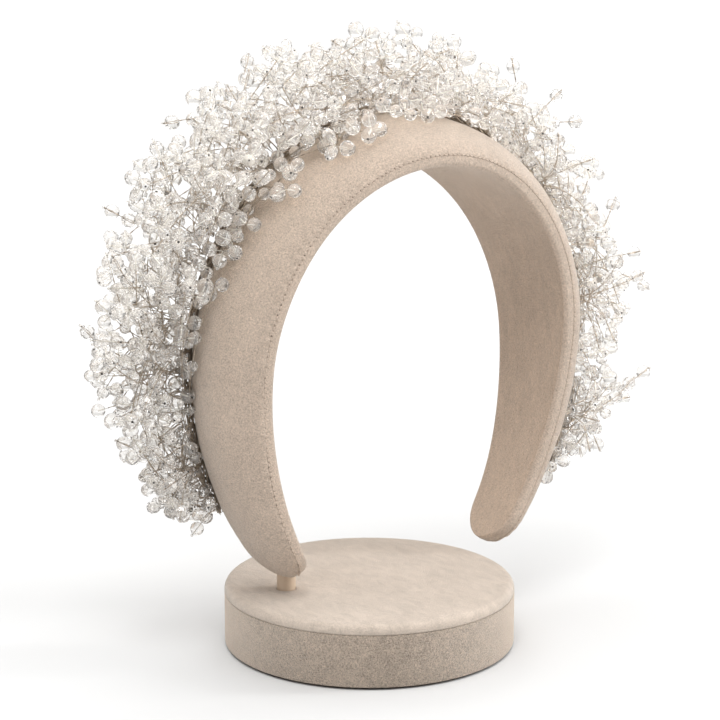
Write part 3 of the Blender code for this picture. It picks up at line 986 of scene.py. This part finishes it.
def rounded_path(points, step):
    """Smooth curve through points, with stations about a step apart."""
    points = np.asarray(points, float)
    ends = np.vstack((2 * points[0] - points[1], points, 2 * points[-1] - points[-2]))
    stations = [points[0]]
    for k in range(len(points) - 1):
        before, start, end, after = ends[k:k + 4]
        count = max(1, round(float(np.linalg.norm(end - start)) / step))
        for number in range(1, count + 1):
            t = number / count
            stations.append(
                0.5 * (
                    2 * start
                    + (end - before) * t
                    + (2 * before - 5 * start + 4 * end - after) * t**2
                    + (3 * start - before - 3 * end + after) * t**3
                )
            )
    return np.array(stations)


def tube(centres, radius, sides, turn=0.0, flat=1.0):
    """Tube round stations: an oval section that turns as it goes, closed at both ends."""
    centres = np.asarray(centres, float)
    along = np.gradient(centres, axis=0)
    along /= np.maximum(np.linalg.norm(along, axis=1, keepdims=True), 1e-9)
    guide = np.array((0.31, 0.87, 0.38))
    across = guide - along * (along @ guide)[:, None]
    across /= np.maximum(np.linalg.norm(across, axis=1, keepdims=True), 1e-9)
    other = np.cross(along, across)
    spin = np.arange(len(centres)) * turn
    angle = np.arange(sides) * math.tau / sides
    points = []
    for k in range(len(centres)):
        side_x, side_y = np.cos(angle), np.sin(angle) * flat
        x = side_x * math.cos(spin[k]) - side_y * math.sin(spin[k])
        y = side_x * math.sin(spin[k]) + side_y * math.cos(spin[k])
        points.append(centres[k] + radius * (x[:, None] * across[k] + y[:, None] * other[k]))
    faces = []
    for k in range(len(centres) - 1):
        low, high = k * sides, (k + 1) * sides
        for s in range(sides):
            after = (s + 1) % sides
            faces.append((low + s, low + after, high + after, high + s))
    faces.append(tuple(range(sides - 1, -1, -1)))
    last = (len(centres) - 1) * sides
    faces.append(tuple(last + s for s in range(sides)))
    return np.concatenate(points), faces


def cut_bead():
    """Round bead of radius 1 about the origin, with the ends of its hole along Z."""
    bpy.ops.object.select_all(action="DESELECT")
    bpy.ops.mesh.primitive_uv_sphere_add(segments=10, ring_count=6, radius=1.0)
    bead = bpy.context.object
    pick(bead, "VERT", lambda spot: abs(spot.z) > 0.99)
    bpy.ops.mesh.dissolve_verts()
    bpy.ops.object.mode_set(mode="OBJECT")
    pick(bead, "FACE", lambda middle: abs(middle.z) > 0.85)
    bpy.ops.mesh.inset(thickness=0.33, depth=0.10)
    bpy.ops.object.mode_set(mode="OBJECT")
    points, faces = taken_apart(bead)
    # The faces at the hole's ends take the hole's painted shade.
    finishes = [HOLE_SHADE if min(points[k][2] for k in face) > 0.93 else GLASS for face in faces]
    return points, faces, finishes


def seed_bead():
    """Small round stopper bead of radius 1."""
    bpy.ops.object.select_all(action="DESELECT")
    bpy.ops.mesh.primitive_ico_sphere_add(subdivisions=1, radius=1.0)
    return taken_apart(bpy.context.object)


class BeadCloud:
    """Places beads so that none lies in another or in the padding."""

    def __init__(self, cover, settings):
        self.settings = settings
        points = [vertex.co for vertex in cover.data.vertices]
        faces = [tuple(polygon.vertices) for polygon in cover.data.polygons]
        self.padding = BVHTree.FromPolygons(points, faces)
        self.centres = np.zeros((0, 3))
        self.radii = np.zeros(0)

    def off_padding(self, spot, gap):
        """The spot, moved out of the padding until its gap to it is free."""
        spot = Vector(spot)
        near, normal, _, distance = self.padding.find_nearest(spot)
        if (spot - near).dot(normal) < 0.0:
            distance = -distance
        if distance < gap:
            spot = spot + normal * (gap - distance)
        return spot

    def room(self, spot):
        """Distance from a spot to the nearest bead's surface."""
        if not len(self.radii):
            return 1.0
        gaps = np.linalg.norm(self.centres - np.array(spot), axis=1) - self.radii
        return float(gaps.min())

    def keep(self, spot, radius):
        self.centres = np.vstack((self.centres, np.array(spot)))
        self.radii = np.append(self.radii, radius)


def string_tip(row, start, end, number, chance):
    """Place of a main string's last bead, as in the CAD."""
    side, _, lowest, highest, _ = row
    spread = (number + 0.5 + chance.uniform(-0.25, 0.25)) / STRINGS_PER_SPRAY
    margin = (BEAD_RADIUS + CLEARANCE) / ARCH_LENGTH
    share = start + margin + (end - start - 2 * margin) * spread
    height, front, back, _, drape = cloud_at(share)
    room = BEAD_RADIUS + CLEARANCE
    level = chance.uniform(0.0, 1.0)
    if side == 0:
        aside = (ROW_SPLIT - room) * chance.uniform(-1.0, 1.0)
    else:
        near = ROW_SPLIT + room
        far = max((back if side > 0 else front) - BEAD_RADIUS, near)
        outward = ((number + level) / STRINGS_PER_SPRAY * 2) % 1.0
        aside = side * (near + (far - near) * outward)
        if side < 0:
            level = 1.0 - outward
            lowest = max(lowest, drape)
            highest = max(highest, drape)
    rise = (height - 3 * BEAD_RADIUS) * (lowest + (highest - lowest) * level)
    return share, aside, 2 * BEAD_RADIUS + max(rise, 0.0)


def stem_bend(root, tip, t):
    """Place on the curve of a stem from root to tip, in share, aside and above."""
    lift = 0.35 if root[1] == 0.0 else 0.55
    bend = (root[0], root[1] + 0.5 * (tip[1] - root[1]), root[2] + lift * (tip[2] - root[2]))
    weights = ((1 - t) ** 2, 2 * t * (1 - t), t * t)
    return [sum(w * p[axis] for w, p in zip(weights, (root, bend, tip))) for axis in range(3)]


class SprayMaker:
    """Builds the sprays one after another into the same cloud."""

    def __init__(self, cloud, settings):
        self.cloud = cloud
        self.settings = settings
        self.bead = cut_bead()
        self.seed = seed_bead()

    def thread_bead(self, pile, spot, direction, radius, chance, oval=False):
        points, faces, finishes = self.bead
        turn = frame_along(direction, chance.uniform(0.0, math.tau))
        size = np.array((radius * 0.8, radius * 0.8, radius * 1.3) if oval else (radius,) * 3)
        rounded = chance.random() > self.settings.cut_share
        pile.add((points * size) @ turn.T + np.array(spot), faces, finishes, rounded)
        self.cloud.keep(spot, radius)

    def stopper(self, pile, spot, direction, radius, chance):
        points, faces = self.seed
        turn = frame_along(direction, chance.uniform(0.0, math.tau))
        seed = self.settings.seed * chance.uniform(0.85, 1.15)
        centre = np.array(spot) + np.array(direction) * (radius + seed * 0.8)
        pile.add((points * seed) @ turn.T + centre, faces)
        return centre

    def wire(self, pile, points, radius, twisted=True):
        """A twisted stem of two wires, or one fine wire."""
        if twisted:
            stations = rounded_path(points, STEM_STEP)
            pile.add(*tube(stations, radius, 6, math.radians(58), 0.55), STEM)
        else:
            stations = rounded_path(points, PETAL_WIRE_STEP)
            pile.add(*tube(stations, radius, 4), FINE_WIRE)

    def main_string(self, pile, root, tip, last_gap, radius, chance):
        """A string whose beads sit where the CAD has them."""
        span = (cloud_point(*tip) - cloud_point(*root)).length
        inner = 1.0 - last_gap / span
        stops = [0.0, inner / 2, inner, 1.0] if span > 2 * last_gap else [0.0, 0.4, 1.0]
        path = [BAND_PLACE @ cloud_point(*stem_bend(root, tip, t)) for t in stops]
        beads = path[2:]
        for k, spot in enumerate(beads):
            direction = (spot - path[k + 1]).normalized()
            self.thread_bead(pile, spot, direction, radius, chance)
        end = self.stopper(pile, path[-1], direction, radius, chance)
        self.wire(pile, path + [Vector(end)], self.settings.stem_radius)

    def floret(self, pile, row, start, end, root, chance):
        """A stem with a bead or two on it and a ring of beads round its end."""
        settings = self.settings
        side = row[0]
        tip, most = None, -math.inf
        lies_low = side < 0 and chance.random() < LOW_FLORETS
        stands_out = not lies_low and chance.random() < settings.sprig_share
        for _ in range(FLORET_TRIES):
            share = chance.uniform(start, end)
            height, _, back, vine_y, _ = cloud_at(share)
            edge_y, free = smooth_table(FLORET_EDGES, share)
            front = max(vine_y - edge_y - FLORET_EDGE_GAP, 0.001)
            outward = chance.uniform(0.4 if lies_low else 0.0, 1.0)
            if side == 0:
                aside = ROW_SPLIT * (2 * outward - 1)
                top = 1.0
            elif side < 0:
                near = min(ROW_SPLIT * 0.7, front)
                aside = -(near + (front - near) * outward)
                top = math.sqrt(1.0 - (outward * 0.985) ** 2)
            else:
                near = ROW_SPLIT * 0.7
                aside = near + max(back - near - FLORET_BACK_GAP, 0.0) * outward
                top = 1.0 - 0.2 * outward**2
            level = LOW_LEVEL if lies_low else chance.uniform(0.0, 1.0) ** 0.6
            above = FLORET_LEAST_HEIGHT + max(height * top - free, 0.0) * level
            if stands_out:
                rise = chance.uniform(*SPRIG_RISE)
                above = FLORET_LEAST_HEIGHT + max(height * top - free, 0.0) + rise
            spot = BAND_PLACE @ cloud_point(share, aside, above)
            spot = self.cloud.off_padding(spot, FLORET_OFF_PAD)
            clump = settings.clumping * noise.noise(spot * CLUMPS_PER_METRE)
            room = self.cloud.room(spot) + clump
            if room > most:
                most, tip = room, (share, aside, above)
        path = []
        for t in (0.0, 0.2, 0.4, 0.6, 0.8, 1.0):
            spot = BAND_PLACE @ cloud_point(*stem_bend(root, tip, t))
            gap = STEM_OFF_PAD + (FLORET_OFF_PAD - STEM_OFF_PAD) * t
            path.append(self.cloud.off_padding(spot, gap))
        direction = (path[-1] - path[-2]).normalized()
        self.wire(pile, path, settings.stem_radius)
        for t in STEM_BEADS:
            radius = chance.uniform(settings.smallest, settings.largest) * 0.9
            first, second = path[int(t * 5)], path[int(t * 5) + 1]
            spot = first.lerp(second, t * 5 - int(t * 5))
            if self.cloud.room(spot) > radius * 0.92:
                self.thread_bead(pile, spot, (second - first).normalized(), radius, chance)
        count = chance.randint(max(settings.petals - 3, 1), settings.petals)
        self.petals(pile, path[-1], direction, count, chance)

    def petals(self, pile, end, direction, count, chance):
        """Beads on short wires that fan out from the end of a stem."""
        settings = self.settings
        turn = frame_along(direction, chance.uniform(0.0, math.tau))
        for number in range(count):
            radius = settings.smallest + (settings.largest - settings.smallest) * (
                chance.uniform(0.0, 1.0) ** 0.7
            )
            for _ in range(PETAL_TRIES):
                tilt = 0.0 if number == 0 else math.radians(chance.uniform(*PETAL_TILT))
                angle = number * 2.4 + chance.uniform(-0.6, 0.6)
                way = turn @ np.array((
                    math.sin(tilt) * math.cos(angle),
                    math.sin(tilt) * math.sin(angle),
                    math.cos(tilt),
                ))
                reach = radius * chance.uniform(*PETAL_REACH) + PETAL_GAP
                spot = self.cloud.off_padding(Vector(end) + Vector(way) * reach, radius)
                if self.cloud.room(spot) > radius * 0.93:
                    break
            else:
                continue
            way = (spot - Vector(end)).normalized()
            oval = chance.random() < settings.oval_share
            self.thread_bead(pile, spot, way, radius, chance, oval)
            stop = spot
            if chance.random() < settings.stopper_share:
                long = radius * (1.3 if oval else 1.0)
                stop = Vector(self.stopper(pile, spot, way, long, chance))
            middle = Vector(end).lerp(stop, 0.5)
            self.wire(pile, [end, middle, stop], settings.petal_wire_radius, False)

    def spray(self, row, index):
        """Main strings as in the CAD, then florets, of one spray of a row."""
        side, count = row[:2]
        chance = random.Random(100 * (side + 1) + index)
        length = (VINE_ENDS[1] - VINE_ENDS[0]) / count
        start = VINE_ENDS[0] + length * index
        from_vine = CLEARANCE + HUB_RADIUS + VINE_RADIUS
        vine_above = CLEARANCE + VINE_RADIUS
        above = vine_above + (from_vine if side == 0 else 0.0)
        root = (start + length / 2, side * from_vine, above)
        pile = Pile()
        for number in range(STRINGS_PER_SPRAY):
            tip = string_tip(row, start, start + length, number, chance)
            radius = BEAD_RADIUS * chance.uniform(0.85, 1.0)
            last_gap = radius * chance.uniform(2.1, 2.7)
            extra = random.Random(1000 + 100 * (side + 1) + 10 * index + number)
            self.main_string(pile, root, tip, last_gap, radius, extra)
        for _ in range(row[4]):
            own_root = (chance.uniform(start, start + length), root[1], root[2])
            self.floret(pile, row, start, start + length, own_root, chance)
        return pile


class HEADBAND_OT_band(bpy.types.Operator):
    """Make the padded cover, the lining and the seam's stitches"""

    bl_idname = "headband.band"
    bl_label = "Padded band"

    def execute(self, context):
        settings = context.scene.headband_band
        cloth = suede("cover_suede", settings.cover_colour, 0.024, 0.6)
        lining_cloth = suede(
            "lining_suede", settings.lining_colour, 0.018, 0.6, 0.30, (1.0, 1.6, 0.6)
        )
        shares = band_shares(46, 6)
        rings = [cover_ring(share) for share in shares]
        cover = lofted("padded_cover", rings)
        loose = {rounded_spot(spot) for ring in rings for spot in ring[4:22]}
        held = [v.index for v in cover.data.vertices if rounded_spot(v.co) not in loose]
        puff(cover, held, settings.puff_pressure, settings.puff_limit)
        levels = {"levels": 2, "render_levels": 2, "boundary_smooth": "PRESERVE_CORNERS"}
        apply_modifier(cover, "SUBSURF", levels)
        roughen(cover, settings)
        smooth(cover, 60)
        settle(cover, "padded_cover", [cloth], "sand_suede", "band_cover")
        lining = lofted("rolled_lining", [lining_ring(share) for share in shares], range(7, 17))
        apply_modifier(lining, "SUBSURF", levels)
        smooth(lining, 60)
        settle(lining, "rolled_lining", [cloth, lining_cloth], "lining_suede", "band_lining")
        self.stitch(settings)
        return {"FINISHED"}

    def stitch(self, settings):
        """One row of stitches in the seam on each edge of the band."""
        points, faces = taken_apart(capsule(settings.stitch_radius, settings.stitch_length))
        pile = Pile()
        pitch = settings.stitch_length * 1.2
        reach = 0.985
        count = int(2 * reach * ARCH_LENGTH / pitch)
        inset = SEAM_TUCK * 0.5
        for way in (-1, 1):
            for number in range(count):
                share = -reach + 2 * reach * (number + 0.5) / count
                here = seam_line(share, way, SEAM_GAP, inset)
                ahead = seam_line(share + 0.002, way, SEAM_GAP, inset)
                along = (ahead - here).normalized()
                turn = np.array(along.to_track_quat("X", "Z").to_matrix())
                pile.add(points @ turn.T + np.array(here), faces)
        sewing = thread("seam_thread", settings.cover_colour)
        piece = pile.piece("seam_stitches", [sewing])
        smooth(piece, 50)
        settle(piece, "seam_stitches", [sewing], "sand_suede")


class HEADBAND_OT_stand(bpy.types.Operator):
    """Make the plinth's cloth pieces and the post, and finish its board pieces"""

    bl_idname = "headband.stand"
    bl_label = "Display stand"

    def execute(self, context):
        settings = context.scene.headband_stand
        # The wall's suede has a painted sheen: its colour is lighter where the wall is seen edge
        # on.
        cloth = suede("plinth_wall_suede", settings.cloth_colour, 0.030, 0.9, 0.25, rim=0.75)
        # The top's suede is painted lighter for the light from above, and keeps its own brush
        # strokes.
        top_suede_painted_light = suede(
            "plinth_top_suede", settings.top_colour_painted_light, 0.022, 0.45, 0.50, (1.5, 0.6, 1.0)
        )
        outer, sides = PLINTH_RADIUS, settings.sides
        top_seam = PLINTH_HEIGHT - PLINTH_CLOTH - TOP_CROWN - RIM_WRAP
        side_top = top_seam - SEAM_GAP
        middle = (0.0, 0.0, (side_top + SOLE_SHOWN) / 2)
        wall = cylinder(sides, outer, side_top - SOLE_SHOWN, middle, ends="NOTHING")
        apply_modifier(wall, "SOLIDIFY", {"thickness": PLINTH_CLOTH, "offset": -1.0})
        soften(wall, WALL_EDGE_ROUND, 4)
        smooth(wall, 50)
        settle(wall, "plinth_wall_cloth", [cloth], "sand_suede", "plinth_side_cover")
        top = self.top_disc(outer, sides, top_seam)
        settle(top, "plinth_top_cloth", [top_suede_painted_light], "sand_suede", "plinth_top_cover")
        post = self.post()
        paint = satin_paint("post_paint", settings.post_colour)
        settle(post, "painted_post", [paint], "post_paint", "stand_post")
        # The board's dark colour also gives the sole's shown edge, a painted shade line at the
        # plinth's foot.
        board_and_foot_shade = board("pressed_board", settings.board_and_foot_shade_colour)
        for name in ("plinth_core", "plinth_sole"):
            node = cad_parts[name]
            node.data.materials.clear()
            node.data.materials.append(board_and_foot_shade)
        return {"FINISHED"}

    def top_disc(self, outer, sides, top_seam):
        """Cloth disc with a rounded rim, a low crown and a hole for the post."""
        rim = PLINTH_HEIGHT - TOP_CROWN
        disc = cylinder(sides, outer, rim - top_seam, (0.0, 0.0, (rim + top_seam) / 2))
        put_in_mesh(disc)
        pick(disc, "EDGE", lambda middle: middle.z > rim - 1e-5)
        bpy.ops.mesh.bevel(offset=RIM_ROUND, segments=8, affect="EDGES")
        bpy.ops.object.mode_set(mode="OBJECT")
        pick(disc, "EDGE", lambda middle: middle.z < top_seam + 1e-5)
        bpy.ops.mesh.bevel(offset=SEAM_EDGE_ROUND, segments=3, affect="EDGES")
        bpy.ops.object.mode_set(mode="OBJECT")
        pick(disc, "FACE", lambda middle: middle.z < top_seam + 1e-5)
        bpy.ops.mesh.inset(thickness=PLINTH_CLOTH - SEAM_EDGE_ROUND, depth=0.0)
        bpy.ops.mesh.extrude_region_move(TRANSFORM_OT_translate={"value": (0.0, 0.0, RIM_WRAP)})
        bpy.ops.object.mode_set(mode="OBJECT")
        pick(disc, "FACE", lambda middle: middle.z > rim - 1e-5)
        rings = 7
        inner = outer - RIM_ROUND
        for k in range(rings):
            here = 1.0 - k / rings
            after = 1.0 - (k + 1) / rings if k < rings - 1 else 0.05
            rise = TOP_CROWN * (here**2 - after**2)
            bpy.ops.mesh.inset(thickness=inner * (here - after), depth=0.0)
            bpy.ops.transform.translate(value=(0.0, 0.0, rise))
        bpy.ops.object.mode_set(mode="OBJECT")
        close_up(disc)
        punch = cylinder(POST_SIDES, POST_RADIUS + CLEARANCE, 0.02, (*POST_PLACE, PLINTH_HEIGHT))
        join(disc, punch, "DIFFERENCE")
        smooth(disc, 40)
        return disc

    def post(self):
        """Round post with softened ends, and the pin that goes up into the padding."""
        top = PLINTH_HEIGHT + POST_SHOWN + POST_IN_TIP
        bottom = PLINTH_HEIGHT - POST_IN_PLINTH
        post = cylinder(POST_SIDES, POST_RADIUS, top - bottom, (*POST_PLACE, (top + bottom) / 2))
        put_in_mesh(post)
        foot = LINING_THICKNESS + CLEARANCE
        ends = []
        for share in (-1.0 + PIN_INTO_TIP / ARCH_LENGTH, -1.0 + PIN_LENGTH / ARCH_LENGTH):
            middle = (foot + pad_height(share, 0.0)) / 2
            ends.append(BAND_PLACE @ band_point(share, 0.0, middle))
        way = ends[1] - ends[0]
        turn = way.to_track_quat("Z", "Y").to_euler()
        pin = cylinder(PIN_SIDES, PIN_RADIUS, way.length, (ends[0] + ends[1]) / 2, turn)
        join(post, pin, "UNION")
        soften(post, POST_EDGE_ROUND, 3)
        smooth(post, 40)
        return post


class HEADBAND_OT_vine(bpy.types.Operator):
    """Make the twisted strands of the vine"""

    bl_idname = "headband.vine"
    bl_label = "Wire vine"

    def execute(self, context):
        settings = context.scene.headband_beads
        # The vine's silver is painted dark brown, a painted shade for the vine in the gaps under
        # the beads.
        silver = drawn_wire("vine_silver", (0.26, 0.21, 0.16), 0.6, 0.3)
        curve = bpy.data.curves.new("vine_strands", "CURVE")
        curve.dimensions = "3D"
        curve.bevel_depth = settings.strand_radius
        curve.bevel_resolution = 1
        curve.use_fill_caps = True
        stations = VINE_STATIONS * 8
        shares = np.linspace(VINE_ENDS[0], VINE_ENDS[1], stations + 1)
        centres = [BAND_PLACE @ cloud_point(s, 0.0, CLEARANCE + VINE_RADIUS) for s in shares]
        around = VINE_RADIUS - settings.strand_radius
        for strand in range(settings.strands):
            spline = curve.splines.new("POLY")
            spline.points.add(stations)
            for k, centre in enumerate(centres):
                before, after = centres[max(k - 1, 0)], centres[min(k + 1, stations)]
                along = (after - before).normalized()
                across = Vector((0, 1, 0))
                across = (across - along * across.dot(along)).normalized()
                turn = math.tau * (strand / settings.strands + STRAND_TURNS * k / stations)
                wander = 1.0 + 0.18 * math.sin(k * 0.11 + strand * 2.1)
                offset = across * math.cos(turn) + along.cross(across) * math.sin(turn)
                spline.points[k].co = (*(centre + offset * around * wander), 1.0)
        bundle = bpy.data.objects.new("vine_strands", curve)
        context.scene.collection.objects.link(bundle)
        only(bundle)
        bpy.ops.object.convert(target="MESH")
        bundle = bpy.context.object
        close_up(bundle)
        smooth(bundle, 60)
        settle(bundle, "vine_strands", [silver], "silver_wire", "vine_wire")
        return {"FINISHED"}


class HEADBAND_OT_sprays(bpy.types.Operator):
    """Make the bead sprays on their twisted stems"""

    bl_idname = "headband.sprays"
    bl_label = "Bead sprays"

    def execute(self, context):
        settings = context.scene.headband_beads
        glass = crystal("cut_crystal", settings.glass_index, settings.milkiness)
        # The hole's end faces are painted near black, a painted shade inside the hole.
        hole = hole_shade_finish("drilled_hole", (0.040, 0.034, 0.028))
        # The stems' silver is painted dark brown, a painted shade for the wires deep among the
        # beads.
        stems = drawn_wire("stem_silver", (0.47, 0.39, 0.31), 0.7, 0.26)
        fine = drawn_wire("petal_silver", (0.93, 0.89, 0.82), 0.15, 0.3)
        finishes = [glass, stems, hole, fine]
        cover = bpy.data.objects.get("padded_cover")
        if cover is None:
            raise RuntimeError("the padded band has to be made before the sprays")
        maker = SprayMaker(BeadCloud(cover, settings), settings)
        number = 0
        for row in SPRAY_ROWS:
            for index in range(row[1]):
                number += 1
                name = f"bead_spray_{number:02d}"
                piece = maker.spray(row, index).piece(name, finishes)
                settle(piece, name, finishes, "clear_crystal", f"crystal_spray_{number:02d}")
        print("beads:", len(maker.cloud.radii))
        return {"FINISHED"}


class HEADBAND_OT_stage(bpy.types.Operator):
    """Make the pale floor, the soft lights and the camera"""

    bl_idname = "headband.stage"
    bl_label = "Stage"

    def execute(self, context):
        settings = context.scene.headband_stage
        scene = context.scene
        scene.view_settings.view_transform = "Standard"
        scene.cycles.max_bounces = 20
        scene.cycles.transmission_bounces = 20
        scene.cycles.transparent_max_bounces = 16
        self.floor(settings)
        self.room(scene, settings)
        self.lights(settings)
        data = bpy.data.cameras.new("camera")
        data.lens = settings.camera_lens
        data.sensor_width = 36.0
        data.clip_start, data.clip_end = 0.05, 200.0
        camera = bpy.data.objects.new("camera", data)
        camera.location = settings.camera_place
        tilt = math.pi / 2 - settings.camera_pitch
        camera.rotation_euler = (tilt, 0.0, -settings.camera_yaw)
        scene.collection.objects.link(camera)
        scene.camera = camera
        return {"FINISHED"}

    def floor(self, settings):
        bpy.ops.object.select_all(action="DESELECT")
        bpy.ops.mesh.primitive_plane_add(size=settings.floor_size)
        floor = bpy.context.object
        floor.name = "floor"
        paint = Paint(bpy.data.materials.new("pale_floor"))
        spot = paint.place()
        grain = paint.noise(spot, 40.0, 2.0, 0.5)
        away = paint.node("ShaderNodeVectorMath", {"operation": "LENGTH"}, {0: spot}, "Value")
        colour = tuple(settings.floor_colour)
        # Painted shade: the floor is darker beside the stand and reaches its full colour further
        # away.
        pale = paint.ramp(away * 0.4 + grain * 0.01, (0.11, 0.0), (0.30, 1.0))
        tint = paint.mix(pale, shade(colour, settings.floor_painted_shade), shade(colour, 1.0))
        shader = paint.node("ShaderNodeBsdfDiffuse", {}, {"Color": tint})
        floor.data.materials.append(paint.finish(shader))

    def room(self, scene, settings):
        """White room, darker to the sides, so that the crystal has something to show."""
        world = bpy.data.worlds.new("room")
        scene.world = world
        paint = Paint(world)
        way = paint.node("ShaderNodeTexCoord", output="Generated")
        yaw = settings.camera_yaw
        ahead = paint.node(
            "ShaderNodeVectorMath", {"operation": "DOT_PRODUCT"},
            {0: way, 1: (math.sin(yaw), math.cos(yaw), 0.0)}, output="Value",
        )
        up = paint.node("ShaderNodeSeparateXYZ", {}, {0: way}, output="Z")
        sides = paint.ramp(ahead * 0.5 + 0.5, (0.10, 0.03), (0.74, 0.07), (0.93, 0.82))
        above = paint.ramp(up, (0.34, 0.0), (0.85, 1.0)) * 2.1
        level = sides + above
        shown = paint.node("ShaderNodeCombineColor", {}, {0: level, 1: level, 2: level})
        soft = paint.node(
            "ShaderNodeBackground", {}, {"Color": shown, "Strength": settings.room_strength}
        )
        plain = paint.node(
            "ShaderNodeBackground", {}, {"Color": (0.985, 0.985, 0.985, 1.0), "Strength": 1.0}
        )
        seen = paint.node("ShaderNodeLightPath", output="Is Camera Ray")
        both = paint.node("ShaderNodeMixShader", {}, {0: seen, 1: soft, 2: plain})
        paint.finish(both, "ShaderNodeOutputWorld")

    def lights(self, settings):
        for name, place, wide, tall, share in LIGHTS:
            data = bpy.data.lights.new(name, "AREA")
            data.shape = "RECTANGLE"
            data.size = wide
            data.size_y = tall
            data.energy = settings.key_power * share
            light = bpy.data.objects.new(name, data)
            light.location = place
            way = Vector(LIGHTS_AIM) - Vector(place)
            light.rotation_euler = way.to_track_quat("-Z", "Y").to_euler()
            bpy.context.scene.collection.objects.link(light)


class HEADBAND_PT_panel(bpy.types.Panel):
    """Buttons and sizes of the headband"""

    bl_label = "Headband"
    bl_idname = "HEADBAND_PT_panel"
    bl_space_type = "VIEW_3D"
    bl_region_type = "UI"
    bl_category = "Headband"

    def draw(self, context):
        for group, makers in GROUPS:
            box = self.layout.box()
            for maker in makers:
                box.operator(maker.bl_idname)
            settings = getattr(context.scene, group)
            for key in type(settings).__annotations__:
                box.prop(settings, key)


GROUPS = (
    ("headband_band", (HEADBAND_OT_band,)),
    ("headband_stand", (HEADBAND_OT_stand,)),
    ("headband_beads", (HEADBAND_OT_vine, HEADBAND_OT_sprays)),
    ("headband_stage", (HEADBAND_OT_stage,)),
)
SETTINGS = {
    "headband_band": BandSettings,
    "headband_stand": StandSettings,
    "headband_beads": BeadSettings,
    "headband_stage": StageSettings,
}


def register():
    for settings in SETTINGS.values():
        bpy.utils.register_class(settings)
    for _, makers in GROUPS:
        for maker in makers:
            bpy.utils.register_class(maker)
    bpy.utils.register_class(HEADBAND_PT_panel)
    for key, settings in SETTINGS.items():
        setattr(bpy.types.Scene, key, PointerProperty(type=settings))


def unregister():
    for key in SETTINGS:
        delattr(bpy.types.Scene, key)
    bpy.utils.unregister_class(HEADBAND_PT_panel)
    for _, makers in GROUPS:
        for maker in makers:
            bpy.utils.unregister_class(maker)
    for settings in SETTINGS.values():
        bpy.utils.unregister_class(settings)


def main():
    register()
    bpy.ops.headband.band()
    bpy.ops.headband.stand()
    bpy.ops.headband.vine()
    bpy.ops.headband.sprays()
    bpy.ops.headband.stage()


if __name__ == "__main__":
    main()
